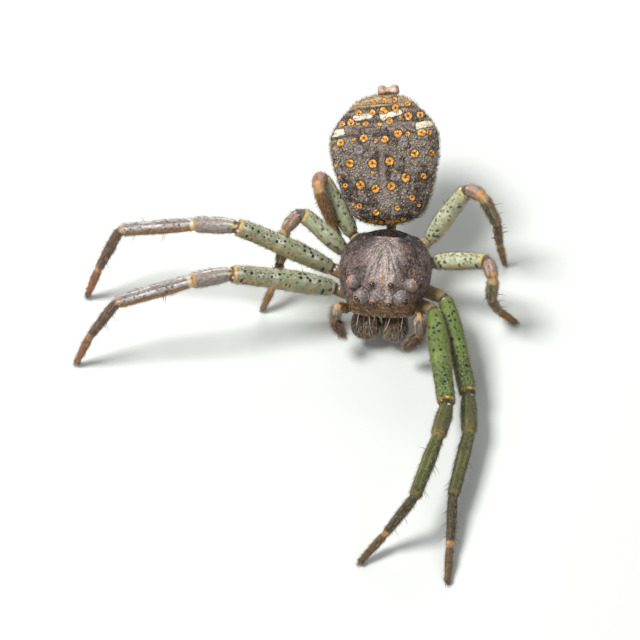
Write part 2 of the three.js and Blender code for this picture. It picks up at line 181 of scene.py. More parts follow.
class Graph:
    """One material's node tree."""

    def __init__(self, name: str) -> None:
        """Makes an empty material of this name."""
        self.material = bpy.data.materials.new(name)
        self.material.use_nodes = True
        self.tree = self.material.node_tree
        self.tree.nodes.clear()

    def node(
        self,
        kind: str,
        settings: dict[str, object] | None = None,
        inputs: "dict[str, object] | list[object] | None" = None,
    ) -> bpy.types.Node:
        """Adds a node.

        Args:
            kind: The node's type.
            settings: Its own settings, set first.
            inputs: Values or links, by socket name or in socket order.

        Returns:
            The node.
        """
        node = self.tree.nodes.new(kind)
        for name, value in (settings or {}).items():
            if name == "stops":
                self._stops(node, value)
            else:
                setattr(node, name, value)
        pairs = inputs.items() if isinstance(inputs, dict) else enumerate(inputs or [])
        for key, value in pairs:
            socket = node.inputs[key]
            if isinstance(value, Value):
                self.tree.links.new(value.socket, socket)
            elif isinstance(value, bpy.types.NodeSocket):
                self.tree.links.new(value, socket)
            elif isinstance(value, tuple) and socket.type == "RGBA":
                socket.default_value = (*value[:3], 1.0)
            else:
                socket.default_value = value
        return node

    @staticmethod
    def _stops(node: bpy.types.Node, stops: Sequence[tuple[float, Colour]]) -> None:
        """Sets a colour ramp's stops."""
        elements = node.color_ramp.elements
        while len(elements) > 1:
            elements.remove(elements[-1])
        for i, (place, colour) in enumerate(stops):
            stop = elements[0] if i == 0 else elements.new(place)
            stop.position = place
            stop.color = (*colour, 1.0)

    def number(self, name: str) -> Value:
        """A number stored on the mesh."""
        node = self.node("ShaderNodeAttribute", {"attribute_name": name})
        return Value(self, node.outputs["Fac"])

    def vector(self, name: str) -> bpy.types.NodeSocket:
        """A vector stored on the mesh."""
        node = self.node("ShaderNodeAttribute", {"attribute_name": name})
        return node.outputs["Vector"]

    def parts(self, vector: bpy.types.NodeSocket) -> tuple[Value, Value, Value]:
        """A vector's three numbers."""
        node = self.node("ShaderNodeSeparateXYZ", None, [vector])
        return tuple(Value(self, out) for out in node.outputs)

    def join(self, x: object, y: object, z: object) -> bpy.types.NodeSocket:
        """A vector of three numbers."""
        return self.node("ShaderNodeCombineXYZ", None, [x, y, z]).outputs[0]

    def noise(
        self,
        place: bpy.types.NodeSocket,
        scale: float,
        detail: float = 3.0,
        rough: float = 0.55,
        warp: float = 0.0,
    ) -> Value:
        """Smooth noise; scale is in waves for each unit of place."""
        inputs = {
            "Vector": place, "Scale": scale, "Detail": detail, "Roughness": rough,
            "Distortion": warp,
        }
        return Value(self, self.node("ShaderNodeTexNoise", None, inputs).outputs[0])

    def cells(
        self, place: bpy.types.NodeSocket, scale: float, feature: str = "F1", loose: float = 1.0
    ) -> Value:
        """Distance to the nearest of scattered points (or to the edge between cells)."""
        inputs = {"Vector": place, "Scale": scale, "Randomness": loose}
        node = self.node("ShaderNodeTexVoronoi", {"feature": feature}, inputs)
        return Value(self, node.outputs["Distance"])

    def ramp(self, value: Value, stops: Sequence[tuple[float, Colour]]) -> bpy.types.NodeSocket:
        """A colour for each value from 0 to 1."""
        return self.node("ShaderNodeValToRGB", {"stops": stops}, [value]).outputs[0]

    def mix(self, share: "Value | float", first: object, second: object) -> bpy.types.NodeSocket:
        """First colour towards the second."""
        node = self.node("ShaderNodeMix", {"data_type": "RGBA"}, {0: share})
        for socket, value in ((node.inputs[6], first), (node.inputs[7], second)):
            if isinstance(value, tuple):
                socket.default_value = (*value, 1.0)
            else:
                self.tree.links.new(value, socket)
        return node.outputs[2]

    def bump(self, height: Value, distance: float, strength: float = 1.0) -> bpy.types.NodeSocket:
        """A bumpy normal; distance is the depth in metres."""
        inputs = {"Strength": strength, "Distance": distance, "Height": height}
        return self.node("ShaderNodeBump", None, inputs).outputs[0]

    def surface(self, varying: dict[str, object], fixed: dict[str, object]) -> bpy.types.Material:
        """Ends the graph in one Principled shader.

        Args:
            varying: Linked inputs, such as Base Color, Roughness and Normal.
            fixed: Constants set on the shader's own sockets.

        Returns:
            The material.
        """
        shader = self.node("ShaderNodeBsdfPrincipled", None, {**fixed, **varying})
        self.node("ShaderNodeOutputMaterial", None, {"Surface": shader.outputs[0]})
        return self.material


# Mesh building

def deselect() -> None:
    """Leaves nothing selected."""
    bpy.ops.object.select_all(action="DESELECT")


def pick(*pieces: bpy.types.Object) -> None:
    """Selects pieces alone, with the first one active."""
    deselect()
    for piece in pieces:
        piece.select_set(True)
    bpy.context.view_layer.objects.active = pieces[0]


def points_of(piece: bpy.types.Object) -> np.ndarray:
    """A mesh's vertices."""
    flat = np.empty(len(piece.data.vertices) * 3, np.float32)
    piece.data.vertices.foreach_get("co", flat)
    return flat.reshape(-1, 3).astype(float)


def set_points(piece: bpy.types.Object, points: np.ndarray) -> None:
    """Moves a mesh's vertices."""
    piece.data.vertices.foreach_set("co", np.asarray(points, np.float32).ravel())
    piece.data.update()


def normals_of(piece: bpy.types.Object) -> np.ndarray:
    """A mesh's vertex normals."""
    flat = np.empty(len(piece.data.vertices) * 3, np.float32)
    piece.data.vertex_normals.foreach_get("vector", flat)
    return flat.reshape(-1, 3).astype(float)


def store(piece: bpy.types.Object, name: str, values: np.ndarray) -> None:
    """Keeps a number or a vector on each vertex for the materials."""
    wide = values.ndim == 2
    layer = piece.data.attributes.new(name, "FLOAT_VECTOR" if wide else "FLOAT", "POINT")
    layer.data.foreach_set("vector" if wide else "value", values.astype(np.float32).ravel())


def globe(name: str, sides: int, rings: int) -> tuple[bpy.types.Object, np.ndarray, np.ndarray]:
    """Adds a ball to be shaped.

    Args:
        name: The piece's name.
        sides: Faces round its axis.
        rings: Faces from pole to pole.

    Returns:
        The ball, each vertex's ring from 0 to rings, and its angle round the axis.
    """
    deselect()
    bpy.ops.mesh.primitive_uv_sphere_add(segments=sides, ring_count=rings, radius=1.0)
    piece = bpy.context.active_object
    piece.name = name
    ball = points_of(piece)
    ring = np.rint(np.arccos(np.clip(ball[:, 2], -1, 1)) / math.pi * rings)
    around = np.arctan2(ball[:, 1], ball[:, 0])
    return piece, ring.astype(int), around


def smooth(piece: bpy.types.Object) -> None:
    """Smooth shading with outward normals."""
    pick(piece)
    bpy.ops.object.mode_set(mode="EDIT")
    bpy.ops.mesh.select_all(action="SELECT")
    bpy.ops.mesh.normals_make_consistent(inside=False)
    bpy.ops.object.mode_set(mode="OBJECT")
    bpy.ops.object.shade_smooth()


def fuse(name: str, pieces: list[bpy.types.Object], voxel: float, rounds: int) -> bpy.types.Object:
    """Melts overlapping closed meshes into one skin.

    Args:
        name: The skin's name.
        pieces: What is melted.
        voxel: Size of the skin's faces in millimetres.
        rounds: How often the skin is relaxed.

    Returns:
        The skin.
    """
    pick(*pieces)
    if len(pieces) > 1:
        bpy.ops.object.join()
    skin = bpy.context.active_object
    skin.name = name
    remesh = skin.modifiers.new("Melt", "REMESH")
    remesh.mode = "VOXEL"
    remesh.voxel_size = voxel
    bpy.ops.object.modifier_apply(modifier=remesh.name)
    relax = skin.modifiers.new("Relax", "SMOOTH")
    relax.factor = 0.5
    relax.iterations = rounds
    bpy.ops.object.modifier_apply(modifier=relax.name)
    smooth(skin)
    return skin


def settle(piece: bpy.types.Object, nodes: Sequence[str]) -> None:
    """Args:
        piece: The finished piece.
        nodes: CAD nodes that it stands for.
    """
    piece.data.transform(Matrix.Scale(MM, 4))
    piece.data.update()
    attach(piece, "root")
    if nodes:
        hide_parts(*nodes)
    LOG.info("%s: %d faces", piece.name, len(piece.data.polygons))


@dataclass
class Skin:
    """A finished skin in millimetres, with what its coat is combed by."""

    piece: bpy.types.Object
    comb: np.ndarray
    unwrap: np.ndarray
    fields: dict[str, np.ndarray] = field(default_factory=dict)

    def scatter(
        self, count: int, weight: np.ndarray, rng: np.random.Generator
    ) -> dict[str, np.ndarray]:
        """Random places on the skin.

        Args:
            count: How many.
            weight: How thickly each vertex is covered.
            rng: A seeded source of chance.

        Returns:
            For each place its root, normal, comb direction, unwrap and other fields.
        """
        mesh = self.piece.data
        mesh.calc_loop_triangles()
        corners = np.empty(len(mesh.loop_triangles) * 3, np.int32)
        mesh.loop_triangles.foreach_get("vertices", corners)
        corners = corners.reshape(-1, 3)
        points = points_of(self.piece)
        a, b, c = (points[corners[:, i]] for i in range(3))
        area = np.linalg.norm(np.cross(b - a, c - a), axis=1) / 2
        chance = area * weight[corners].mean(axis=1)
        chosen = rng.choice(len(corners), size=count, p=chance / chance.sum())
        share = np.sort(rng.random((count, 2)), axis=1)
        share = np.stack([share[:, 0], share[:, 1] - share[:, 0], 1 - share[:, 1]], 1)
        picked = corners[chosen]

        def spread(values: np.ndarray) -> np.ndarray:
            """A vertex value blended over each place's triangle."""
            own = values[picked]
            return np.einsum("ij,ij...->i...", share, own)

        unwrap = self.unwrap[picked[:, 0]]
        out = {
            "root": spread(points),
            "normal": unit(spread(normals_of(self.piece))),
            "comb": spread(self.comb),
            "unwrap": unwrap,
        }
        for name, values in self.fields.items():
            out[name] = spread(values)
        across = (out["comb"] * out["normal"]).sum(axis=1, keepdims=True)
        out["comb"] = unit(out["comb"] - across * out["normal"])
        return out


class Coat:
    """Hairs gathered into one mesh."""

    SIDES = 3
    PATCH = 0.003

    def __init__(self, name: str) -> None:
        """An empty coat."""
        self.name = name
        self.rings: list[np.ndarray] = []
        self.unwraps: list[np.ndarray] = []
        self.tones: list[np.ndarray] = []

    def add(
        self,
        places: dict[str, np.ndarray],
        length: np.ndarray,
        width: float,
        lean: np.ndarray,
        bend: float,
        tone: np.ndarray,
        rng: np.random.Generator,
        stray: float = 0.35,
    ) -> None:
        """Adds hairs.

        Args:
            places: Roots, normals and comb directions.
            length: Length of each hair in millimetres.
            width: Thickness at the root in millimetres.
            lean: Angle from the surface in degrees.
            bend: How far the tip turns back along the comb, 0 to 1.
            tone: 0 for dark hairs to 1 for pale ones.
            rng: A seeded source of chance.
            stray: How much hairs leave the comb sideways.
        """
        root, normal, comb = places["root"], places["normal"], places["comb"]
        side = np.cross(normal, comb)
        turn = rng.normal(0, stray, len(root))[:, None]
        comb = unit(comb * np.cos(turn) + side * np.sin(turn))
        angle = np.radians(lean)[:, None]
        aim = comb * np.cos(angle) + normal * np.sin(angle)
        late = unit(aim * (1 - bend) + comb * bend)
        reach = length[:, None]
        first = root - normal * width
        middle = root + aim * reach * 0.5
        tip = middle + late * reach * 0.5
        across = unit(np.cross(aim, normal + 1e-3))
        other = np.cross(aim, across)
        rings = []
        for centre, radius in ((first, width * 0.5), (middle, width * 0.36)):
            for k in range(self.SIDES):
                phi = 2 * math.pi * k / self.SIDES
                rings.append(centre + radius * (across * math.cos(phi) + other * math.sin(phi)))
        rings.append(tip)
        self.rings.append(np.stack(rings, 1))
        self.unwraps.append(places["unwrap"])
        self.tones.append(tone)

    def build(self) -> bpy.types.Object:
        """Makes the mesh with its tones and its patch map."""
        hairs = np.concatenate(self.rings)
        count, per = hairs.shape[:2]
        n = self.SIDES
        faces = [tuple(reversed(range(n)))]
        faces += [(k, (k + 1) % n, n + (k + 1) % n, n + k) for k in range(n)]
        faces += [(n + k, n + (k + 1) % n, 2 * n) for k in range(n)]
        local = np.concatenate([np.array(f) for f in faces])
        sizes = np.array([len(f) for f in faces])
        base = (np.arange(count) * per)[:, None]
        loops = (local[None, :] + base).ravel()
        starts = np.concatenate([[0], np.cumsum(sizes)[:-1]])
        starts = (starts[None, :] + (np.arange(count) * len(local))[:, None]).ravel()
        mesh = bpy.data.meshes.new(self.name)
        mesh.vertices.add(count * per)
        mesh.vertices.foreach_set("co", hairs.astype(np.float32).ravel())
        mesh.loops.add(len(loops))
        mesh.loops.foreach_set("vertex_index", loops.astype(np.int32))
        mesh.polygons.add(len(starts))
        mesh.polygons.foreach_set("loop_start", starts.astype(np.int32))
        mesh.update(calc_edges=True)
        mesh.validate()
        spots = np.array(
            [(0, 0), (1, 0), (0.5, 1), (0.2, 0.2), (0.8, 0.2), (0.5, 0.8), (0.5, 0.45)]
        ) * self.PATCH
        places = np.clip(np.concatenate(self.unwraps), 0.002, 0.995)
        corner = (places[:, None, :] + spots[None, :, :])[:, local, :]
        layer = mesh.uv_layers.new(name="OFBake")
        layer.data.foreach_set("uv", corner.astype(np.float32).ravel())
        piece = bpy.data.objects.new(self.name, mesh)
        bpy.context.collection.objects.link(piece)
        tone = np.repeat(np.concatenate(self.tones), per)
        rise = np.tile(np.array([0.0] * n + [0.5] * n + [1.0]), count)
        store(piece, "tone", tone)
        store(piece, "rise", rise)
        pick(piece)
        bpy.ops.object.shade_smooth()
        return piece


# Stance

class Side(Enum):
    """Which side of the spider, as the sign of X."""

    RIGHT = -1
    LEFT = 1

    @property
    def letter(self) -> str:
        """The side's letter in node names."""
        return "r" if self is Side.RIGHT else "l"


@dataclass(frozen=True)
class Stance:
    """How the body is held, in millimetres and degrees."""

    rim_height: float = 2.7
    head_shift: float = -0.07
    head_pitch: float = 12.0
    head_roll: float = -2.0
    abdomen_at: tuple[float, float, float] = (-0.12, 1.86, 2.98)
    abdomen_turn: tuple[float, float, float] = (10.0, 36.0, -6.0)

    def floor(self) -> Matrix:
        """From the spider's own floor point to the frame."""
        return Matrix.Translation((SHIFT[0], SHIFT[1], 0.0))

    def head(self) -> Matrix:
        """The carapace's frame."""
        pitch = Matrix.Rotation(math.radians(self.head_pitch), 4, "X")
        roll = Matrix.Rotation(math.radians(self.head_roll), 4, "Y")
        place = Matrix.Translation((self.head_shift, 0, self.rim_height))
        return self.floor() @ place @ pitch @ roll

    def abdomen(self) -> Matrix:
        """The abdomen's frame."""
        yaw, pitch, roll = (math.radians(v) for v in self.abdomen_turn)
        turn = Matrix.Rotation(yaw, 4, "Z") @ Matrix.Rotation(pitch, 4, "X")
        turn = turn @ Matrix.Rotation(roll, 4, "Y")
        return self.floor() @ Matrix.Translation(self.abdomen_at) @ turn


STANCE = Stance()


# Coat finishes

@dataclass(frozen=True)
class HairFinish:
    """Colours of a coat, from its dark hairs to its pale ones."""

    name: str
    dark: str
    pale: str

    def material(self) -> bpy.types.Material:
        """The coat's material."""
        graph = Graph(self.name)
        tone = graph.number("tone")
        tip = graph.number("rise")
        base = graph.mix(tone, shade(self.dark), shade(self.pale))
        colour = graph.mix(tip * 0.35, base, shade(self.pale))
        return graph.surface(
            {"Base Color": colour},
            {"Roughness": 0.42, "Specular IOR Level": 0.5},
        )


def dress(piece: bpy.types.Object, material: bpy.types.Material) -> None:
    """Gives a piece one material."""
    piece.data.materials.clear()
    piece.data.materials.append(material)


# Lofted body parts

@dataclass(frozen=True)
class Loft:
    """A closed body of oval sections along +Y, sizes at even steps from front to rear."""

    start: float
    end: float
    front_cap: float
    rear_cap: float
    half_width: tuple[float, ...]
    top: tuple[float, ...]
    bottom: tuple[float, ...]
    centre: tuple[float, ...]
    side_power: float
    top_power: float
    bottom_power: float
    inset: float = 0.02

    def stations(self, rings: int) -> np.ndarray:
        """Places of the rings, closer together in the rounded ends."""
        ends = max(6, rings // 9)
        quarter = 1 - np.cos(np.linspace(0, math.pi / 2, ends + 1))
        front = self.start + self.inset + self.front_cap * quarter
        rear = self.end - self.inset - self.rear_cap * quarter[::-1]
        middle = np.linspace(front[-1], rear[0], rings + 1 - 2 * ends)
        return np.concatenate([front[:-1], middle, rear[1:]])

    def place(self, y: np.ndarray, around: np.ndarray) -> np.ndarray:
        """Points of the surface.

        Args:
            y: Place along the body.
            around: Angle round it, 0 at the left side and a quarter turn at the top.

        Returns:
            Points in the body's own frame.
        """
        t = (y - self.start) / (self.end - self.start)
        full = round_end((y - self.start - self.inset) / self.front_cap)
        full = full * round_end((self.end - self.inset - y) / self.rear_cap)
        across, up = np.cos(around), np.sin(around)
        height = np.where(up > 0, curve(self.top)(t), curve(self.bottom)(t)) - self.inset
        lift = np.where(up > 0, bulge(up, self.top_power), bulge(up, self.bottom_power))
        width = curve(self.half_width)(t) - self.inset
        x = full * width * bulge(across, self.side_power)
        return np.stack([x, y, curve(self.centre)(t) + full * height * lift], 1)

    def build(self, name: str, sides: int, rings: int) -> tuple[bpy.types.Object, np.ndarray]:
        """Shapes a ball into this body, in its own frame."""
        piece, ring, around = globe(name, sides, rings)
        points = self.place(self.stations(rings)[ring], around)
        set_points(piece, points)
        return piece, points


def ball_at(centre: Sequence[float], radius: float, sides: int = 32) -> bpy.types.Object:
    """A ball at a place, to be melted into a skin."""
    deselect()
    bpy.ops.mesh.primitive_uv_sphere_add(
        segments=sides, ring_count=sides // 2, radius=radius, location=tuple(centre)
    )
    bpy.ops.object.transform_apply(location=True, rotation=True, scale=True)
    return bpy.context.active_object


# Eyes

@dataclass(frozen=True)
class Eye:
    """One pair of eyes on the carapace's frame, as for the left side."""

    name: str
    at: tuple[float, float, float]
    aim: tuple[float, float, float]
    lens: float
    mound: float
    sink: float

    def mirrored(self, side: Side) -> tuple[np.ndarray, np.ndarray]:
        """Its place and aim on a side."""
        flip = np.array([side.value, 1, 1])
        return np.array(self.at) * flip, unit(np.array(self.aim) * flip)

    def mound_centre(self, side: Side) -> np.ndarray:
        """Middle of the swelling it sits on."""
        at, aim = self.mirrored(side)
        return at - aim * self.sink

    def seat(self, side: Side) -> np.ndarray:
        """Middle of the lens."""
        _, aim = self.mirrored(side)
        return self.mound_centre(side) + aim * (self.mound - self.lens * 0.35)


EYES = (
    Eye("ame", (0.34, -2.06, 0.63), (0.1, -1, 0.35), 0.095, 0.19, 0.13),
    Eye("pme", (0.38, -1.42, 1.14), (0.1, -0.6, 1), 0.1, 0.2, 0.13),
    Eye("ale", (0.93, -1.83, 0.64), (0.62, -0.75, 0.1), 0.15, 0.34, 0.2),
    Eye("ple", (1.29, -1.23, 1.04), (0.85, 0.5, 0.2), 0.13, 0.29, 0.12),
)


@dataclass(frozen=True)
class EyeFinish:
    """A dark wet lens with a paler ring at its foot."""

    name: str = "eye_lens_finish"
    dark: str = "070606"
    edge: str = "2a1a12"

    def material(self) -> bpy.types.Material:
        """The lens's material."""
        graph = Graph(self.name)
        foot = graph.number("foot")
        wave = graph.noise(graph.vector("own"), 14.0, 2.0)
        rim = (foot + (wave - 0.5) * 0.1).rise(0.5, 0.15)
        colour = graph.mix(rim, shade(self.dark), shade(self.edge))
        gloss = rim * 0.25 + 0.05
        return graph.surface(
            {"Base Color": colour, "Roughness": gloss},
            {"Coat Weight": 1.0, "Coat Roughness": 0.02, "IOR": 1.5},
        )


@dataclass
class Eyes:
    """The eight lenses."""

    finish: EyeFinish = EyeFinish()
    sides: int = 40

    def build(self) -> None:
        """Makes each lens as a low dome over its ball."""
        material = self.finish.material()
        head = STANCE.head()
        for eye in EYES:
            for side in Side:
                _, aim = eye.mirrored(side)
                seat = eye.seat(side)
                piece, ring, around = globe(f"lens_{eye.name}_{side.letter}", self.sides, 28)
                polar = ring / 28 * math.pi
                local = np.stack(
                    [np.sin(polar) * np.cos(around), np.sin(polar) * np.sin(around),
                     np.cos(polar)], 1
                )
                x = unit(np.cross(aim, [0.0, 0.0, 1.0]))
                y = np.cross(aim, x)
                flat = 0.9 if eye.lens < 0.12 else 0.62
                stretch = np.where(local[:, 2:] > 0, flat, 0.9)
                local[:, 2:] *= stretch
                points = seat + eye.lens * (
                    local[:, :1] * x + local[:, 1:2] * y + local[:, 2:] * aim
                )
                set_points(piece, turned(head, points))
                store(piece, "foot", local[:, 2])
                store(piece, "own", local)
                smooth(piece)
                dress(piece, material)
                settle(piece, [f"eye_{eye.name}_{side.letter}"])


# Carapace

@dataclass(frozen=True)
class CarapaceFinish:
    """Purplish brown shield, paler in the middle, with orange ticks and painted shadow on the rear
    slope.
    """

    name: str = "carapace_finish"
    dark: str = "1d1211"
    base: str = "4c352d"
    mauve: str = "7a625f"
    pale: str = "c6b6ad"
    black: str = "0b0706"
    blue: str = "151821"
    orange: str = "9c5c36"
    rim: str = "c07a48"
    bulb: str = "7d716d"
    gleam: str = "c9c0bd"
    face: str = "86602f"
    speck: str = "cfa254"
    grit: str = "cdbd9c"

    def material(self) -> bpy.types.Material:
        """The carapace's material."""
        graph = Graph(self.name)
        place = graph.vector("plan")
        x, y, z = graph.parts(place)
        patch = graph.noise(place, 1.2, 4.0, 0.6)
        mottle = graph.noise(place, 4.5, 4.0, 0.72, 0.5)
        grain = graph.cells(place, 7.5)
        crack = graph.cells(place, 7.5, "DISTANCE_TO_EDGE")
        pebble = graph.cells(place, 13.0)
        fine = graph.noise(place, 30.0, 3.0, 0.7)
        rays = graph.noise(graph.vector("fan"), 1.0, 4.0, 0.6)
        jag = mottle - 0.5
        colour = graph.mix(mottle.rise(0.42, 0.56), shade(self.dark), shade(self.base))
        colour = graph.mix((patch + jag * 0.9).rise(0.38, 0.58) * 0.7, colour, shade(self.mauve))
        middle = (abs(x) + jag * 0.3 + abs(y + 0.2) * 0.12).rise(1.05, 0.45) * z.rise(0.5, 0.9)
        lit = (rays * 0.55 + fine * 0.45 + patch * 0.15).rise(0.46, 0.66)
        colour = graph.mix(middle * lit * 0.85, colour, shade(self.pale))
        tops = grain.rise(0.4, 0.1) * (mottle + patch * 0.6).rise(0.72, 0.95)
        colour = graph.mix(tops * (middle * 0.4 + 0.4), colour, shade(self.pale))
        colour = graph.mix(pebble.rise(0.3, 0.1) * fine.rise(0.5, 0.6) * 0.45, colour,
                           shade(self.pale))
        rust = graph.cells(place, 6.0).rise(0.24, 0.1) * patch.rise(0.44, 0.56)
        colour = graph.mix(rust * 0.7, colour, shade(self.orange))
        colour = graph.mix(crack.rise(0.13, 0.02) * (0.75 - middle * 0.35), colour,
                           shade(self.dark))
        corner = (abs(x) + jag * 0.2).rise(0.3, 0.6) * (y + jag * 0.3).rise(0.4, 0.72)
        colour = graph.mix(corner * z.rise(0.2, 0.5) * 0.85, colour, shade(self.blue))

        face = (y + jag * 0.3).rise(-1.72, -1.98) * z.rise(0.8, 0.5)
        colour = graph.mix(face * (mottle.rise(0.35, 0.6) * 0.5 + 0.45), colour,
                           shade(self.face))
        colour = graph.mix(face * (crack.rise(0.16, 0.04) * mottle.rise(0.6, 0.45)), colour,
                           shade(self.dark))
        speck = grain.rise(0.36, 0.16) * face * (mottle + patch * 0.4).rise(0.6, 0.75)
        colour = graph.mix(speck * 0.9, colour, shade(self.speck))
        colour = graph.mix(pebble.rise(0.3, 0.12) * face * fine.rise(0.5, 0.6), colour,
                           shade(self.grit))
        edge = (z + jag * 0.2).rise(0.12, -0.05) * (y + jag * 0.1).rise(-2.0, -2.12)
        colour = graph.mix(edge * grain.rise(0.5, 0.25) * 0.9, colour, shade(self.grit))

        bulb = graph.number("bulb") + jag * 0.2
        gloss = bulb.rise(1.14, 1.0)
        colour = graph.mix(gloss * 0.8, colour, shade(self.bulb))
        # Painted highlight: pale patches over the glossy eye mounds.
        colour = graph.mix(gloss * (fine * 0.5 + mottle * 0.5).rise(0.48, 0.62) * 0.4, colour,
                           shade(self.gleam))
        colour = graph.mix(bulb.band(1.16, 0.03, 0.07) * 0.5, colour, shade(self.dark))
        colour = graph.mix(gloss * crack.rise(0.1, 0.02) * 0.5, colour, shade(self.dark))
        collar = graph.number("collar") + jag * 0.25
        colour = graph.mix(collar.band(1.0, 0.1, 0.16) * 0.85, colour, shade(self.rim))
        # Painted shadow: the steep rear slope under the abdomen is coloured near black for the
        # abdomen's shade.
        shadowed_slope = (y + jag * 0.06 - abs(x) * 0.05).rise(0.93, 0.99) * z.rise(-0.3, -0.1)
        colour = graph.mix(shadowed_slope, colour, shade(self.black))
        back = (y + jag * 0.2).rise(1.52, 1.62)
        colour = graph.mix(back * 0.8, colour, shade("3a2113"))
        tick = graph.number("tick") + jag * 0.7 + (fine - 0.5) * 0.5
        colour = graph.mix(tick.rise(1.1, 0.6) * 0.8, colour, shade(self.orange))
        colour = graph.mix(tick.rise(0.6, 0.3) * fine.rise(0.45, 0.6) * 0.7, colour,
                           shade("d09a68"))
        eye = graph.number("eye") + (fine - 0.5) * 0.2
        colour = graph.mix(eye.band(1.42, 0.13, 0.12) * 0.75, colour, shade("9a5a42"))
        colour = graph.mix(eye.rise(1.3, 1.2), colour, shade("140b0a"))
        lens = graph.number("side") + (fine - 0.5) * 0.1
        colour = graph.mix(lens.band(1.3, 0.05, 0.08) * 0.75, colour, shade("cf9a5c"))
        colour = graph.mix(lens.rise(1.25, 1.16), colour, shade("0d0807"))
        height = mottle * 0.6 + grain.rise(0.5, 0.05) * 1.0 + pebble.rise(0.5, 0.05) * 0.4
        height = height * (1 - gloss * 0.7) * (1 - shadowed_slope) + fine * 0.3
        rough = patch * 0.2 + 0.4 - gloss * 0.18
        return graph.surface(
            {
                "Base Color": colour,
                "Roughness": rough + shadowed_slope * 0.5,
                "Normal": graph.bump(height, 0.00004, 1.0),
            },
            {"Specular IOR Level": 0.42},
        )


@dataclass
class Carapace:
    """The shield over the front body, with the eye swellings."""

    form: Loft = Loft(
        start=-2.28, end=1.68, front_cap=0.22, rear_cap=0.5,
        half_width=(1.3, 1.42, 1.56, 1.74, 1.86, 1.9, 1.89, 1.8, 1.6, 1.3, 0.95),
        top=(0.3, 0.74, 1.04, 1.17, 1.23, 1.24, 1.19, 1.08, 0.88, 0.58, 0.2),
        bottom=(0.38, 0.38, 0.36, 0.36, 0.36, 0.36, 0.36, 0.36, 0.34, 0.3, 0.25),
        centre=(-0.06, 0, 0, 0, 0, 0, 0, 0, 0, 0, 0),
        side_power=0.9, top_power=0.85, bottom_power=0.6,
    )
    fovea: tuple[float, float] = (0.0, 0.72)
    furrow: float = 0.014
    furrow_angles: tuple[float, ...] = (24.0, 62.0, 96.0, 132.0)
    voxel: float = 0.034
    ticks: tuple[tuple[float, float, float], ...] = (
        (-0.94, 0.88, 0.06), (-1.29, 0.64, 0.07), (0.92, 0.66, 0.06), (1.28, 1.03, 0.06),
        (1.35, 0.45, 0.06), (0.98, -0.07, 0.06), (0.89, -0.72, 0.05), (1.21, -0.82, 0.05),
        (-0.95, -0.3, 0.05), (-1.2, 0.1, 0.05), (0.0, -0.85, 0.08), (0.01, -0.13, 0.07),
        (-1.25, -1.56, 0.08), (1.25, -1.56, 0.08),
    )
    streak: tuple[float, float] = (-1.32, -0.88)
    finish: CarapaceFinish = CarapaceFinish()

    def build(self) -> Skin:
        """Melts shield and swellings into one skin, with its pattern fields."""
        shell, _ = self.form.build("carapace_shell", 96, 90)
        balls = []
        for eye in EYES:
            for side in Side:
                balls.append(ball_at(eye.mound_centre(side), eye.mound * 0.97))
        skin = fuse("skin_carapace", [shell, *balls], self.voxel, 5)
        points = points_of(skin)
        normal = normals_of(skin)
        angle = np.degrees(np.arctan2(np.abs(points[:, 0]), -(points[:, 1] - self.fovea[1])))
        reach = np.hypot(points[:, 0], points[:, 1] - self.fovea[1])
        groove = np.zeros(len(points))
        for middle in self.furrow_angles:
            near = np.exp(-(((angle - middle) * np.maximum(reach, 0.3) / 6.0) ** 2))
            groove += near * np.clip((reach - 0.15) / 0.5, 0, 1) * np.clip((1.9 - reach), 0, 1)
        groove += np.exp(-((points[:, 0] / 0.05) ** 2)) * np.exp(
            -(((points[:, 1] - self.fovea[1]) / 0.16) ** 2)
        )
        socket = self._nearest(points, EYES[:2])
        lateral = self._nearest(points, EYES[2:])
        dent = np.clip(1.25 - np.minimum(socket, lateral), 0, 0.3) * 0.12
        hollow = np.clip((points[:, 1] - 0.92) / 0.16, 0, 1) * np.exp(-((points[:, 0] / 0.8) ** 4))
        hollow *= np.clip((1.6 - points[:, 1]) / 0.16, 0, 1)
        hollow = 0.42 * hollow * (points[:, 2] > 0.05)
        points = points - normal * (self.furrow * groove + dent + hollow)[:, None] * (
            points[:, 2:] > -0.1
        )
        set_points(skin, points)
        store(skin, "plan", points)
        fold = np.abs(angle) / 57.3
        store(skin, "fan", np.stack([fold * 9.0, reach * 0.9, points[:, 2] * 0.3], 1))
        store(skin, "fovea", reach)
        store(skin, "eye", socket)
        store(skin, "side", lateral)
        store(skin, "bulb", self._bulbs(points))
        store(skin, "collar", self._collar(points))
        store(skin, "tick", self._tick(points))
        comb = np.stack([points[:, 0], points[:, 1] - self.fovea[1], 0 * reach], 1)
        comb = -unit(comb) * np.array([1, 1, 1])
        unwrap = np.stack(
            [np.arctan2(points[:, 0], points[:, 2]) / (2 * math.pi) + 0.5,
             (points[:, 1] - self.form.start) / (self.form.end - self.form.start)], 1
        )
        plan = points.copy()
        head = STANCE.head()
        set_points(skin, turned(head, points))
        comb = comb @ np.array(head)[:3, :3].T
        smooth(skin)
        dress(skin, self.finish.material())
        return Skin(skin, comb, unwrap, {"plan": plan, "eye": np.minimum(socket, lateral)})

    def _nearest(self, points: np.ndarray, eyes: Sequence[Eye]) -> np.ndarray:
        """Distance to the nearest of some lenses, in lens radii."""
        near = np.full(len(points), 9.0)
        for eye in eyes:
            for side in Side:
                gap = np.linalg.norm(points - eye.seat(side), axis=1) / eye.lens
                near = np.minimum(near, gap)
        return near

    def _bulbs(self, points: np.ndarray) -> np.ndarray:
        """Distance to the side eyes' swellings, in their radii."""
        near = np.full(len(points), 9.0)
        for eye in EYES[2:]:
            for side in Side:
                gap = np.linalg.norm(points - eye.mound_centre(side), axis=1) / eye.mound
                near = np.minimum(near, gap)
        return near

    def _collar(self, points: np.ndarray) -> np.ndarray:
        """Distance from the rearmost lenses along their swellings, in collar radii."""
        near = np.full(len(points), 9.0)
        for side in Side:
            seat = EYES[3].seat(side)
            near = np.minimum(near, np.linalg.norm(points - seat, axis=1) / 0.21)
        return near

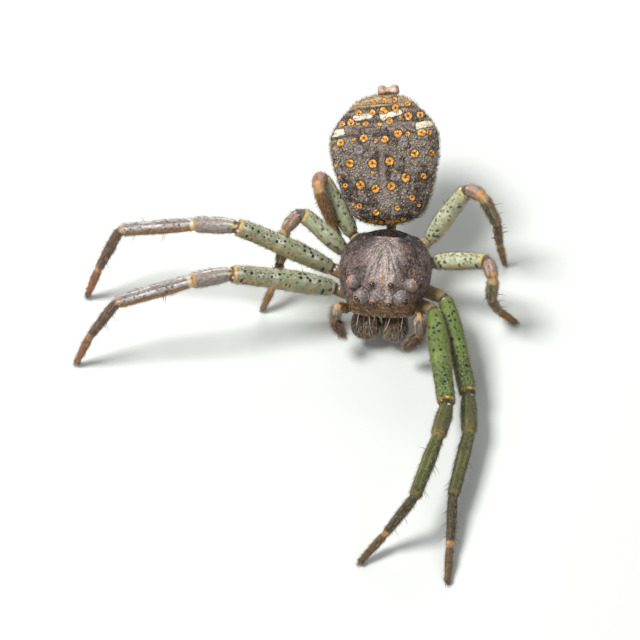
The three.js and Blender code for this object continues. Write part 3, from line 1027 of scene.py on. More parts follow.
    def _tick(self, points: np.ndarray) -> np.ndarray:
        """Distance to the nearest orange tick or the midline streak, in their sizes."""
        near = np.full(len(points), 9.0)
        for x, y, size in self.ticks:
            near = np.minimum(near, np.hypot(points[:, 0] - x, points[:, 1] - y) / size)
        along = np.clip(points[:, 1], self.streak[0], self.streak[1]) - points[:, 1]
        line = np.hypot(points[:, 0] - 0.01, along * 0.5) / 0.045
        bar = np.hypot(points[:, 0] - 0.1, (points[:, 1] - 0.93) * 2.6) / 0.24
        near = np.minimum(near, bar)
        near = np.minimum(near, line)
        return np.where(points[:, 2] > 0.1, near, 9.0)


# Abdomen

@dataclass(frozen=True)
class AbdomenFinish:
    """Granular dark hide with orange ringed pits, cross lines and cream streaks."""

    name: str = "abdomen_finish"
    dark: str = "17100d"
    base: str = "57412f"
    umber: str = "2a1610"
    grain: str = "988b80"
    beige: str = "b9a98c"
    orange: str = "cf8526"
    yellow: str = "ecbb58"
    rust: str = "7a3f12"
    pit: str = "120b08"
    band: str = "93807a"
    white: str = "efe5ca"
    tail: str = "b08c5c"
    belly: str = "76675a"
    stripe: str = "85786e"
    blue: str = "59607a"

    def material(self) -> bpy.types.Material:
        """The abdomen's material."""
        graph = Graph(self.name)
        place = graph.vector("plan")
        x, y, z = graph.parts(place)
        patch = graph.noise(place, 1.1, 4.0, 0.6)
        mottle = graph.noise(place, 5.0, 4.0, 0.68, 0.5)
        grain = graph.cells(place, 8.0)
        crack = graph.cells(place, 8.0, "DISTANCE_TO_EDGE")
        pebble = graph.cells(place, 14.0)
        fine = graph.noise(place, 30.0, 3.0, 0.7)
        jag = mottle - 0.5
        ragged = jag + (fine - 0.5) * 0.5
        colour = graph.mix(mottle.rise(0.36, 0.62), shade(self.dark), shade(self.base))
        pale = patch + y.band(2.9, 0.5, 0.7) * 0.12
        beige = (mottle * 0.8 + pale).rise(0.88, 1.02)
        colour = graph.mix(beige * 0.75, colour, shade(self.grain))
        tops = grain.rise(0.45, 0.14) * (mottle + pale * 0.9).rise(0.82, 1.04)
        colour = graph.mix(tops * 0.9, colour, shade(self.beige))
        colour = graph.mix((patch + jag * 0.6).rise(0.53, 0.4) * 0.75, colour,
                           shade(self.umber))
        colour = graph.mix(pebble.rise(0.34, 0.12) * fine.rise(0.48, 0.58) * 0.65, colour,
                           shade(self.grain))
        colour = graph.mix(crack.rise(0.14, 0.02) * 0.8, colour, shade(self.dark))
        wide = 0.17 - y * 0.025
        stripe = (abs(x + 0.12) - wide + ragged * 0.16).rise(0.05, -0.05) * y.band(2.3, 1.05, 0.3)
        colour = graph.mix(stripe * (fine + 0.25).rise(0.5, 0.8) * 0.85, colour,
                           shade(self.stripe))

        rear = y.rise(3.72, 3.86)
        belt = rear * (y + ragged * 0.3).band(4.05, 0.12, 0.12) * mottle.rise(0.36, 0.55)
        colour = graph.mix(belt * 0.75, colour, shade(self.band))
        end = (y + ragged * 0.12).rise(4.55, 5.05)
        colour = graph.mix(end * 0.8, colour, shade(self.tail))
        wrinkle = graph.noise(graph.join(x * 1.6, y * 13.0, z * 1.6), 1.0, 3.0, 0.6)
        colour = graph.mix(rear * wrinkle.rise(0.46, 0.36) * 0.7, colour, shade(self.dark))
        colour = graph.mix(end * wrinkle.rise(0.52, 0.66) * 0.7, colour, shade("d9c096"))
        arch = y + x * x * 0.03 + ragged * 0.13
        lines = arch.band(3.82, 0.03, 0.05).most(arch.band(4.36, 0.045, 0.05))
        lines = lines.most(arch.band(4.66, 0.045, 0.04)).most(arch.band(4.9, 0.03, 0.04))
        lines = lines.most(arch.band(5.1, 0.02, 0.03))
        colour = graph.mix(lines * (fine + mottle).rise(0.75, 0.98) * 0.95, colour,
                           shade(self.dark))
        salt = fine.rise(0.58, 0.7) * (patch + jag * 0.4).rise(0.46, 0.62)
        colour = graph.mix(salt * 0.75, colour, shade(self.beige))
        under = graph.number("under")
        colour = graph.mix(under.rise(0.1, 0.6) * 0.7, colour, shade(self.belly))

        streak = graph.number("streak") + ragged * 1.0
        colour = graph.mix(streak.rise(1.35, 1.1) * 0.8, colour, shade(self.dark))
        white = streak.rise(1.05, 0.75)
        colour = graph.mix(white * (0.75 + fine * 0.5), colour, shade(self.white))
        colour = graph.mix(white * crack.rise(0.09, 0.01) * 0.45, colour, shade(self.tail))
        dull = graph.number("dull") + ragged * 0.5
        colour = graph.mix(dull.rise(1.6, 0.8) * 0.7, colour, shade(self.grain))
        colour = graph.mix(dull.rise(0.8, 0.4) * 0.85, colour, shade(self.blue))

        off_x, off_y, number = graph.parts(graph.vector("hub"))
        back = ((off_x * off_x + off_y * off_y).power(0.5) + 0.08).power(-1.0)
        ring = graph.number("ring") + ragged * 0.35
        colour = graph.mix(ring.rise(1.45, 1.12) * 0.85, colour, shade(self.dark))
        spoke = graph.join(off_x * back * 1.7, off_y * back * 1.7, number * 3.7)
        ray = graph.noise(spoke, 1.0, 2.0, 0.5)
        disc = ring.rise(1.06, 0.9)
        colour = graph.mix(disc, colour, shade(self.orange))
        colour = graph.mix(disc * ray.rise(0.5, 0.6) * ring.rise(0.35, 0.7), colour,
                           shade(self.yellow))
        colour = graph.mix(disc * ray.rise(0.43, 0.36) * ring.rise(1.1, 0.7) * 0.85, colour,
                           shade(self.rust))
        colour = graph.mix(disc * fine.rise(0.42, 0.34) * 0.5, colour, shade(self.rust))
        colour = graph.mix((ring + (ray - 0.5) * 0.6).rise(0.36, 0.2), colour, shade(self.pit))
        height = mottle * 0.8 + grain.rise(0.5, 0.05) * 1.1 + pebble.rise(0.5, 0.05) * 0.4
        height = height + wrinkle * rear * 1.2 + fine * 0.3
        return graph.surface(
            {
                "Base Color": colour,
                "Roughness": mottle * 0.2 + 0.42,
                "Normal": graph.bump(height, 0.00006, 1.0),
            },
            {"Specular IOR Level": 0.45},
        )


@dataclass
class Abdomen:
    """The raised abdomen, widest behind its middle."""

    form: Loft = Loft(
        start=0.0, end=5.5, front_cap=0.4, rear_cap=0.4,
        half_width=(0.9, 1.5, 1.76, 1.94, 2.07, 2.19, 2.25, 2.18, 1.86, 1.38, 0.95),
        top=(0.36, 0.52, 0.6, 0.63, 0.65, 0.67, 0.68, 0.64, 0.58, 0.5, 0.4),
        bottom=(0.7, 1.1, 1.32, 1.45, 1.5, 1.5, 1.46, 1.34, 1.08, 0.76, 0.5),
        centre=(0, 0, 0, 0, 0, 0, 0, -0.12, -0.42, -0.82, -1.2),
        side_power=0.8, top_power=0.62, bottom_power=0.9,
    )
    folds: tuple[float, float, int, float] = (3.7, 5.38, 4, 0.07)
    spots: tuple[tuple[float, float, float], ...] = (
        (-1.9, 3.5, 0.15), (-1.54, 2.63, 0.16), (-1.75, 1.74, 0.1), (-1.19, 0.86, 0.11),
        (-0.5, 0.56, 0.12), (-1.12, 1.72, 0.17), (-0.5, 1.53, 0.16), (-0.6, 2.56, 0.17),
        (-0.94, 3.63, 0.16), (-1.35, 3.6, 0.08), (-0.45, 3.49, 0.09), (-0.08, 3.52, 0.15),
        (0.46, 3.75, 0.17), (0.86, 3.7, 0.1), (1.43, 3.73, 0.17), (1.75, 3.72, 0.12),
        (1.13, 2.87, 0.16), (1.82, 2.86, 0.12), (0.74, 1.91, 0.17), (0.15, 1.6, 0.17),
        (0.1, 2.62, 0.17), (1.47, 1.93, 0.12), (0.99, 1.08, 0.12), (0.37, 0.69, 0.1),
        (-1.88, 4.32, 0.13), (-1.5, 4.35, 0.14), (-1.2, 4.26, 0.08), (-0.87, 4.25, 0.13),
        (-0.29, 4.19, 0.1), (0.12, 4.3, 0.14), (0.56, 4.41, 0.08), (0.88, 4.48, 0.15),
        (1.37, 4.51, 0.14), (-1.19, 4.75, 0.13), (-0.6, 4.73, 0.12), (-0.15, 4.76, 0.15),
        (0.34, 4.87, 0.14), (0.85, 5.02, 0.13), (-0.58, 5.15, 0.1), (-0.13, 5.22, 0.1),
        (0.31, 5.24, 0.1), (-2.14, 3.3, 0.07), (-2.12, 2.6, 0.07), (-1.98, 2.1, 0.06),
        (0.3, 2.2, 0.06), (-0.62, 2.2, 0.07), (1.25, 0.75, 0.07), (-1.45, 0.95, 0.06),
    )
    dashes: tuple[tuple[float, float], ...] = (
        (-1.04, 0.25), (-0.76, 0.19), (-0.57, 0.18), (-0.33, 0.15), (-0.03, 0.15),
        (0.15, 0.15), (0.36, 0.16), (0.61, 0.23),
    )
    streaks: tuple[tuple[float, float, float, float], ...] = (
        (-1.27, 4.54, -0.72, 4.6), (-0.18, 4.53, 0.5, 4.67), (-2.23, 3.9, -1.88, 3.97),
        (1.31, 4.03, 1.84, 4.15),
    )
    dulls: tuple[tuple[float, float], ...] = (
        (-1.15, 3.19), (0.66, 3.34), (-0.74, 1.95), (0.33, 2.0), (-0.15, 1.03),
    )
    lean: float = 0.035
    finish: AbdomenFinish = AbdomenFinish()

    def build(self) -> Skin:
        """Shapes the abdomen with its folds and pits, and its pattern fields."""
        sides, rings = ((280, 300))
        skin, plan = self.form.build("skin_abdomen", sides, rings)
        set_points(skin, plan)
        normal = normals_of(skin)
        upper = plan[:, 2] > curve(self.form.centre)(plan[:, 1] / self.form.end) + 0.12
        first, last, count, depth = self.folds
        t = np.clip((plan[:, 1] - first) / (last - first), 0, 1)
        fold = depth * 0.5 * (1 - np.cos(t * count * 2 * math.pi)) * upper
        ring = self._spots(plan, upper)
        pit = 0.05 * np.exp(-((ring / 0.35) ** 2)) - 0.014 * np.exp(-(((ring - 0.7) / 0.3) ** 2))
        pore = self._dull(plan, upper)
        pit += 0.03 * np.exp(-((pore / 0.7) ** 2))
        wrinkle = 0.012 * np.sin(plan[:, 1] * 19 + 2.1 * np.sin(plan[:, 0] * 1.7))
        wrinkle *= 0.5 + 0.5 * np.sin(plan[:, 0] * 7 + plan[:, 1] * 3)
        moved = plan - normal * (fold + pit + wrinkle * 0.6)[:, None]
        set_points(skin, moved)
        store(skin, "plan", plan)
        store(skin, "ring", ring)
        store(skin, "hub", self._hubs(plan))
        store(skin, "streak", self._streaks(plan, upper))
        store(skin, "dull", pore)
        level = curve(self.form.centre)(plan[:, 1] / self.form.end)
        store(skin, "under", np.clip((level - plan[:, 2]) / 1.4, 0, 1))
        own = STANCE.abdomen()
        set_points(skin, turned(own, moved))
        comb = np.tile([0.0, 1.0, 0.0], (len(plan), 1)) @ np.array(own)[:3, :3].T
        angle = np.arctan2(plan[:, 0], plan[:, 2] - level)
        unwrap = np.stack([angle / (2 * math.pi) + 0.5, plan[:, 1] / self.form.end], 1)
        smooth(skin)
        dress(skin, self.finish.material())
        return Skin(skin, comb, unwrap, {"plan": plan, "ring": ring})

    def _spots(self, plan: np.ndarray, upper: np.ndarray) -> np.ndarray:
        """Distance to the nearest ringed spot, in spot radii."""
        near = np.full(len(plan), 9.0)
        for x, y, size in self.spots:
            x += self.lean * y
            near = np.minimum(near, np.hypot(plan[:, 0] - x, plan[:, 1] - y) / size)
        for x, y in self.dashes:
            flat = np.hypot((plan[:, 0] - x) * 0.62, plan[:, 1] - y) / 0.065
            near = np.minimum(near, np.maximum(flat, 0.45))
        return np.where(upper | ((plan[:, 1] < 0.4) & (plan[:, 2] > 0)), near, 9.0)

    def _hubs(self, plan: np.ndarray) -> np.ndarray:
        """Offset from the nearest ringed spot, in spot radii, and that spot's number."""
        near = np.full(len(plan), 9.0)
        hubs = np.full((len(plan), 3), 9.0)
        number = np.zeros(len(plan))
        marks = [(x + self.lean * y, y, size, size, 0.0) for x, y, size in self.spots]
        marks += [(x, y, 0.1, 0.065, 0.3) for x, y in self.dashes]
        for x, y, wide, tall, apart in marks:
            number += 1
            off = [np.abs(plan[:, 0] - x) / wide + apart if apart else (plan[:, 0] - x) / wide,
                   (plan[:, 1] - y) / tall, number]
            gap = np.hypot(off[0], off[1])
            closer = gap < near
            near[closer] = gap[closer]
            hubs[closer] = np.stack(off, 1)[closer]
        return hubs

    def _streaks(self, plan: np.ndarray, upper: np.ndarray) -> np.ndarray:
        """Distance to the nearest white streak, in streak widths."""
        near = np.full(len(plan), 9.0)
        flat = plan[:, :2]
        for x0, y0, x1, y1 in self.streaks:
            start, span = np.array([x0 + self.lean * y0, y0]), np.array([x1 - x0, y1 - y0])
            t = np.clip(((flat - start) @ span) / (span @ span), 0, 1)
            gap = np.linalg.norm(flat - (start + t[:, None] * span), axis=1)
            near = np.minimum(near, gap / 0.15)
        return np.where(upper, near, 9.0)

    def _dull(self, plan: np.ndarray, upper: np.ndarray) -> np.ndarray:
        """Distance to the nearest grey muscle pit, in pit radii."""
        near = np.full(len(plan), 9.0)
        for x, y in self.dulls:
            x += self.lean * y
            near = np.minimum(near, np.hypot(plan[:, 0] - x, plan[:, 1] - y) / 0.15)
        return np.where(upper, near, 9.0)


# Limbs

@dataclass(frozen=True)
class LimbFinish:
    """Colours of a leg along its segments."""

    name: str
    coxa: str = "8a7550"
    femur: str = "8b8e6c"
    femur_low: str = "8d8256"
    edge: str = "c99a4c"
    knee: str = "91877f"
    shin: str = "a39b9a"
    shin_low: str = "8a6238"
    pale: str = "e0ddd8"
    metatarsus: str = "5a3d29"
    tarsus: str = "94552a"
    dot: str = "0d1812"
    rim: str = "c98a3a"
    collar: str = "e6d9b4"
    dark: str = "35241a"
    net: float = 0.4
    dots: float = 1.0
    sheen: float = 0.6
    blots: float = 0.0

    def material(self) -> bpy.types.Material:
        """The limb's material."""
        graph = Graph(self.name)
        place = graph.vector("limb")
        stage = graph.number("stage")
        gap = graph.number("gap")
        dorsal = graph.number("dorsal")
        flank = abs(graph.number("flank"))
        patch = graph.noise(place, 1.4, 4.0, 0.6)
        mottle = graph.noise(place, 6.0, 4.0, 0.65, 0.3)
        fine = graph.noise(place, 26.0, 3.0, 0.7)
        jag = (mottle - 0.5) * 0.6
        ragged = jag + (fine - 0.5) * 0.3
        femur = stage.band(1.5, 0.49, 0.02)
        knee = stage.band(2.5, 0.49, 0.02)
        tibia = stage.band(3.5, 0.49, 0.02)
        shin = knee.most(tibia)
        far = stage.rise(3.98, 4.02)

        colour = graph.ramp(stage * (1 / 6), [(place_, shade(code)) for place_, code in (
            (0.0, self.coxa), (0.162, self.coxa), (0.17, self.femur), (0.33, self.femur),
            (0.337, self.knee), (0.497, self.knee), (0.503, self.shin), (0.663, self.shin),
            (0.67, self.metatarsus), (0.83, self.metatarsus), (0.837, self.tarsus),
            (1.0, self.tarsus),
        )])
        low = (dorsal + jag).rise(0.1, -0.5)
        colour = graph.mix(low * femur * 0.75, colour, shade(self.femur_low))
        belly = (dorsal + ragged).rise(0.78, 0.5)
        colour = graph.mix(belly * tibia * 0.95, colour, shade(self.shin_low))
        colour = graph.mix((dorsal + jag).rise(-0.1, -0.6) * knee * 0.7, colour,
                           shade(self.shin_low))
        colour = graph.mix(patch.rise(0.45, 0.65) * femur * 0.22, colour, shade(self.pale))
        colour = graph.mix(mottle.rise(0.46, 0.34) * femur * 0.45, colour,
                           shade(self.femur_low))
        colour = graph.mix((mottle * 0.6 + fine * 0.4).rise(0.5, 0.4) * shin * 0.55, colour,
                           shade(self.dark))
        line = (flank + jag * 0.4).band(0.93, 0.05, 0.08) * dorsal.rise(-0.2, 0.2)
        colour = graph.mix(line * patch.rise(0.42, 0.6) * femur * 0.6, colour,
                           shade(self.edge))
        # Painted highlight: a pale streak along the top of the femora, patellae and tibiae.
        sheen = (dorsal + jag * 0.15).band(0.9, 0.035, 0.05) * patch.rise(0.45, 0.58)
        colour = graph.mix(sheen * (femur * 0.6).most(shin) * self.sheen, colour,
                           shade(self.pale))
        seam = (dorsal + jag * 0.12).band(0.985, 0.006, 0.012) * mottle.rise(0.4, 0.55)
        colour = graph.mix(seam * tibia * 0.8, colour, shade(self.dark))
        net = graph.cells(place, 7.0, "DISTANCE_TO_EDGE").rise(0.1, 0.02)
        colour = graph.mix(net * stage.band(1.82, 0.12, 0.12) * self.net, colour,
                           shade(self.dot))

        across, rise, run = graph.parts(place)
        sheet = graph.join(across, rise * 0.35, run)
        worn = (fine - 0.5) * 0.16
        big = (graph.cells(sheet, 3.4, "F1", 0.85) + worn).rise(0.27, 0.2)
        small = (graph.cells(sheet, 5.6, "F1", 1.0) + worn).rise(0.26, 0.17)
        upper = dorsal.rise(-0.5, -0.2)
        blot = (graph.cells(sheet, 1.5, "F1", 0.9) + jag * 0.4 + worn).rise(0.24, 0.16)
        big = big.most(blot * self.blots)
        spots = (big.most(small * 0.9) * femur * upper).most(
            small * tibia * dorsal.band(0.62, 0.25, 0.15))
        colour = graph.mix(spots * self.dots, colour, shade(self.dot))
        colour = graph.mix(small * tibia * belly * mottle.rise(0.4, 0.5) * 0.8, colour,
                           shade(self.rim))
        streaks = mottle.rise(0.52, 0.62) * far
        colour = graph.mix(streaks * 0.6, colour, shade(self.dark))
        colour = graph.mix(fine.rise(0.56, 0.7) * (far * 0.5 + 0.25), colour, shade(self.shin))
        colour = graph.mix(fine.rise(0.42, 0.32) * 0.35, colour, shade(self.dark))

        close = (gap + jag * 0.14)
        hip = stage.band(1.0, 0.25, 0.05)
        bend = stage.band(2.0, 0.2, 0.05)
        ankle = stage.band(3.0, 0.3, 0.05)
        heel = stage.band(4.0, 0.3, 0.05)
        toe = stage.band(5.0, 0.4, 0.05)
        top = 1 - low * 0.5
        worn_ring = mottle.rise(0.36, 0.52)
        colour = graph.mix(close.band(-0.09, 0.03, 0.05) * ankle * top * worn_ring * 0.85,
                           colour, shade(self.rim))
        colour = graph.mix(close.band(0.04, 0.05, 0.05) * ankle * top * 0.7, colour,
                           shade(self.collar))
        colour = graph.mix(close.band(-0.12, 0.05, 0.08) * heel * worn_ring * 0.45, colour,
                           shade(self.rim))
        colour = graph.mix(close.band(0.02, 0.04, 0.05) * heel * 0.6, colour, shade(self.dark))
        colour = graph.mix(close.band(-0.08, 0.06, 0.14) * toe * worn_ring * 0.75, colour,
                           shade("cf965a"))
        colour = graph.mix(close.band(-0.14, 0.05, 0.05) * bend * 0.55, colour,
                           shade(self.edge))
        colour = graph.mix(close.band(0.0, 0.07, 0.05) * bend * 0.8, colour, shade(self.dark))
        colour = graph.mix(close.band(0.0, 0.05, 0.05) * hip * 0.7, colour, shade(self.dark))
        colour = graph.mix(close.band(0.12, 0.05, 0.04) * hip * 0.6, colour,
                           shade(self.collar))
        knob = graph.cells(place, 4.6).rise(0.36, 0.26) * hip.most(bend)
        knob = knob * gap.band(-0.02, 0.14, 0.05) * dorsal.rise(-0.1, 0.2)
        bead = graph.mix(patch.rise(0.49, 0.51), shade("cdd3da"), shade("d9a62f"))
        colour = graph.mix(knob * 0.9, colour, bead)
        height = mottle * 0.8 + fine * 0.4 - seam * 0.5 - spots * 0.3 + knob * 0.8
        return graph.surface(
            {
                "Base Color": colour,
                "Roughness": mottle * 0.25 + 0.42,
                "Normal": graph.bump(height, 0.00004, 1.0),
            },
            {"Specular IOR Level": 0.4},
        )


class Pair(Enum):
    """Leg pairs, front to rear: segment lengths in millimetres."""

    FIRST = (4.6, 1.65, 3.2, 2.0, 1.5)
    SECOND = (4.5, 1.75, 3.15, 2.15, 1.5)
    THIRD = (2.55, 0.95, 1.5, 1.25, 1.0)
    FOURTH = (2.9, 1.0, 2.2, 1.45, 1.15)


@dataclass(frozen=True)
class Girth:
    """Skin radii of a leg's segments: start, belly and end of each."""

    coxa: tuple[float, float, float]
    femur: tuple[float, float, float]
    patella: tuple[float, float, float]
    tibia: tuple[float, float, float]
    metatarsus: tuple[float, float, float]
    tarsus: tuple[float, float, float]

    def rows(self) -> list[tuple[float, float, float]]:
        """The segments in order."""
        return [
            self.coxa, self.femur, self.patella, self.tibia, self.metatarsus, self.tarsus
        ]


GIRTHS = {
    Pair.FIRST: Girth(
        (0.24, 0.32, 0.27), (0.335, 0.455, 0.385), (0.27, 0.355, 0.335), (0.26, 0.3, 0.26),
        (0.2, 0.215, 0.175), (0.165, 0.17, 0.115),
    ),
    Pair.SECOND: Girth(
        (0.24, 0.32, 0.27), (0.315, 0.425, 0.375), (0.27, 0.345, 0.335), (0.26, 0.29, 0.26),
        (0.2, 0.215, 0.175), (0.165, 0.17, 0.115),
    ),
    Pair.THIRD: Girth(
        (0.24, 0.31, 0.26), (0.3, 0.38, 0.32), (0.26, 0.295, 0.26), (0.23, 0.26, 0.22),
        (0.18, 0.19, 0.155), (0.15, 0.155, 0.105),
    ),
    Pair.FOURTH: Girth(
        (0.24, 0.31, 0.26), (0.3, 0.39, 0.32), (0.26, 0.295, 0.26), (0.23, 0.26, 0.22),
        (0.18, 0.19, 0.155), (0.15, 0.155, 0.105),
    ),
}


@dataclass
class Tube:
    """A limb skin along a bent line of joints."""

    name: str
    joints: np.ndarray
    girth: list[tuple[float, float, float]]
    trim: float
    pinch: float
    sides: int
    step: float
    bow: float = 0.0
    bow_segment: int = -1
    start_cap: float = 0.2
    end_cap: float = 0.14

    def _line(self) -> tuple[np.ndarray, np.ndarray]:
        """The joint line with rounded corners, and its stage at each point."""
        joints = self.joints
        spans = np.linalg.norm(np.diff(joints, axis=0), axis=1)
        aims = np.diff(joints, axis=0) / spans[:, None]
        points: list[np.ndarray] = []
        stages: list[float] = []
        cut_before = 0.0
        for i, span in enumerate(spans):
            last = i == len(spans) - 1
            cut = 0.0 if last else min(self.trim, 0.4 * span, 0.4 * spans[i + 1])
            count = max(3, int((span - cut - cut_before) / self.step))
            for s in np.linspace(cut_before, span - cut, count):
                points.append(joints[i] + aims[i] * s)
                stages.append(i + s / span)
            if not last:
                corner = joints[i + 1]
                first, second = corner - aims[i] * cut, corner + aims[i + 1] * cut
                for u in np.linspace(0, 1, 10)[1:-1]:
                    points.append(
                        (1 - u) ** 2 * first + 2 * u * (1 - u) * corner + u**2 * second
                    )
                    q = (2 * u - 1) * cut
                    stages.append(i + 1 + (q / span if q < 0 else q / spans[i + 1]))
            cut_before = cut
        return np.array(points), np.array(stages)

    def build(self) -> Skin:
        """Makes the skin with its pattern fields."""
        line, stage = self._line()
        run = np.concatenate([[0], np.cumsum(np.linalg.norm(np.diff(line, axis=0), axis=1))])
        total = run[-1]
        ends = 7
        quarter = 1 - np.cos(np.linspace(0, math.pi / 2, ends + 1))
        front = self.start_cap * quarter
        rear = total - self.end_cap * quarter[::-1]
        count = int((rear[0] - front[-1]) / self.step)
        marks = np.concatenate([front[:-1], np.linspace(front[-1], rear[0], count), rear[1:]])
        middle = np.stack([np.interp(marks, run, line[:, k]) for k in range(3)], 1)
        for _ in range(2):
            middle[1:-1] = (middle[:-2] + 2 * middle[1:-1] + middle[2:]) / 4
        stages = np.interp(marks, run, stage)
        tangent = unit(np.gradient(middle, axis=0))
        up = np.empty_like(middle)
        first = np.array([0.0, 0.0, 1.0])
        for i, aim in enumerate(tangent):
            first = first - aim * (first @ aim)
            first = first / max(np.linalg.norm(first), 1e-9)
            up[i] = first
        across = np.cross(tangent, up)
        rows = self.girth
        index = np.clip(stages.astype(int), 0, len(rows) - 1)
        radius = np.empty(len(marks))
        for i, (a, b, c) in enumerate(rows):
            here = index == i
            local = stages[here] - i
            radius[here] = curve((a, b, (b + c) / 2, c))(local)
        joint_runs = np.interp(np.arange(1, len(rows)), stages, marks)
        offsets = marks[:, None] - joint_runs[None, :]
        nearest = np.abs(offsets).argmin(axis=1)
        signed = offsets[np.arange(len(marks)), nearest]
        gap = np.abs(signed)
        wide = np.convolve(np.pad(radius, 2, mode="edge"), np.ones(5) / 5, "valid")
        radius = wide * (1 - self.pinch * np.exp(-((gap / 0.085) ** 2)))
        radius = radius * round_end(marks / self.start_cap)
        radius = radius * round_end((total - marks) / self.end_cap)
        if self.bow_segment >= 0:
            local = np.clip(stages - self.bow_segment, 0, 1)
            middle = middle + up * (4 * self.bow * local * (1 - local))[:, None]
        rings = len(marks) - 1
        piece, ring, around = globe(self.name, self.sides, rings)
        back = np.cos(around)
        side = np.sin(around)
        reach = radius[ring]
        flat = 1 - 0.06 * np.abs(side)
        points = middle[ring] + (reach * flat)[:, None] * (
            up[ring] * back[:, None] + across[ring] * side[:, None]
        )
        set_points(piece, points)
        limb = np.stack([reach * side, reach * back, marks[ring]], 1)
        store(piece, "limb", limb)
        store(piece, "stage", stages[ring])
        store(piece, "dorsal", back)
        store(piece, "gap", signed[ring])
        store(piece, "flank", side)
        smooth(piece)
        unwrap = np.stack([around / (2 * math.pi) + 0.5, marks[ring] / total], 1)
        fields = {"stage": stages[ring], "dorsal": back, "gap": gap[ring], "side": side}
        return Skin(piece, tangent[ring], unwrap, fields)


@dataclass
class Leg:
    """One leg: pose, skin, claws and coat."""

    name: str
    pair: Pair
    side: Side
    root: tuple[float, float, float]
    base: tuple[float, float, float]
    heading: tuple[float, ...]
    lift: tuple[float, ...]
    finish: LimbFinish
    tip_radius: float = 0.16
    sole: float = 0.035
    spines: tuple[tuple[float, float], ...] = (
        (1.35, 0.97), (1.62, 0.93), (2.45, 0.97), (3.3, 0.97), (3.62, 0.95), (3.4, -0.7),
        (3.8, -0.7), (4.25, -0.6), (4.5, -0.6), (4.78, -0.6),
    )

    def _aim(self, heading: float, lift: float) -> np.ndarray:
        """Direction of a segment from its angles in radians."""
        flat = math.cos(lift)
        return np.array(
            [self.side.value * math.sin(heading) * flat, -math.cos(heading) * flat,
             math.sin(lift)]
        )

    def joints(self) -> np.ndarray:
        """Joint places in the frame's millimetres, root to tip."""
        flip = np.array([self.side.value, 1, 1])
        start = turned(STANCE.head(), (np.array(self.root) * flip)[None])[0]
        places = [start, np.array(self.base) + np.array([SHIFT[0], SHIFT[1], 0.0])]
        for i, length in enumerate(self.pair.value):
            here = places[-1]
            drop = (self.tip_radius - self.sole - here[2]) / length
            lift = math.radians(self.lift[i]) if i < len(self.lift) else math.asin(drop)
            places.append(here + length * self._aim(math.radians(self.heading[i]), lift))
        return np.array(places)

    def build(self) -> Skin:
        """Makes the leg's skin."""
        places = self.joints()
        inward = places[0] - places[1]
        places[0] = places[0] + inward / np.linalg.norm(inward) * 0.12
        tube = Tube(
            name=f"skin_leg_{self.name}", joints=places, girth=GIRTHS[self.pair].rows(),
            trim=0.26, pinch=0.2, sides=28, step=0.055, bow=0.025 * self.pair.value[0],
            bow_segment=1, end_cap=0.12,
        )
        skin = tube.build()
        dress(skin.piece, self.finish.material())
        return skin

    def nodes(self) -> list[str]:
        """The CAD nodes that the skin stands for."""
        parts = ("coxa", "femur", "patella", "tibia", "foot")
        return [f"leg_{self.name}_{part}" for part in parts]

    def claws(self) -> bpy.types.Object:
        """Two small hooked claws at the tip."""
        places = self.joints()
        tip, aim = places[-1], unit(places[-1] - places[-2])
        across = unit(np.cross(aim, [0.0, 0.0, 1.0]))
        pieces = []
        for sign in (-1, 1):
            piece, ring, around = globe(f"claw_{self.name}_{sign}", 10, 14)
            t = ring / 14
            bend = t * 1.5
            flat = aim - np.array([0, 0, aim[2]])
            ahead = unit(flat) if np.linalg.norm(flat) > 1e-3 else aim
            path = tip + (
                ahead * (0.05 + 0.11 * np.sin(bend))[:, None]
                + np.array([0, 0, 1.0]) * (0.0 - 0.085 * (1 - np.cos(bend)))[:, None]
                + across * (sign * (0.035 + 0.02 * t))[:, None]
            )
            thick = 0.022 * round_end(t * 4) * (1 - t) ** 0.7
            points = path + thick[:, None] * (
                across * np.cos(around)[:, None] + np.array([0, 0, 1.0]) * np.sin(around)[:, None]
            )
            points[:, 2] = np.maximum(points[:, 2], 0.002)
            set_points(piece, points)
            pieces.append(piece)
        pick(*pieces)
        bpy.ops.object.join()
        claw = bpy.context.active_object
        claw.name = f"claws_{self.name}"
        smooth(claw)
        return claw


# The left front legs' finish: the legs' colours made darker and greener, with painted shade and
# painted green bounce light.
SHADED_GREEN = LimbFinish(
    "leg_vivid_finish", femur="5b6c2d", femur_low="4a5222", edge="a07a30", knee="4b4c22",
    shin="565a2a", shin_low="3c3418", pale="8fa05c", metatarsus="3f351c", tarsus="5d4424",
    rim="80602a", collar="837544", dark="1f1c0c", net=0.85, sheen=0.15,
)
SAGE = LimbFinish("leg_sage_finish")
CREAM = LimbFinish(
    "leg_cream_finish", coxa="a08a60", femur="adb18e", femur_low="a89055", edge="d0a04c",
    knee="977a6a", shin="7f7449", shin_low="8d5f2e", metatarsus="6b5030", tarsus="8f6636",
    pale="dcd8c6", dot="26312e", collar="c8a878", net=0.2, dots=0.8, sheen=0.3, blots=0.85,
)


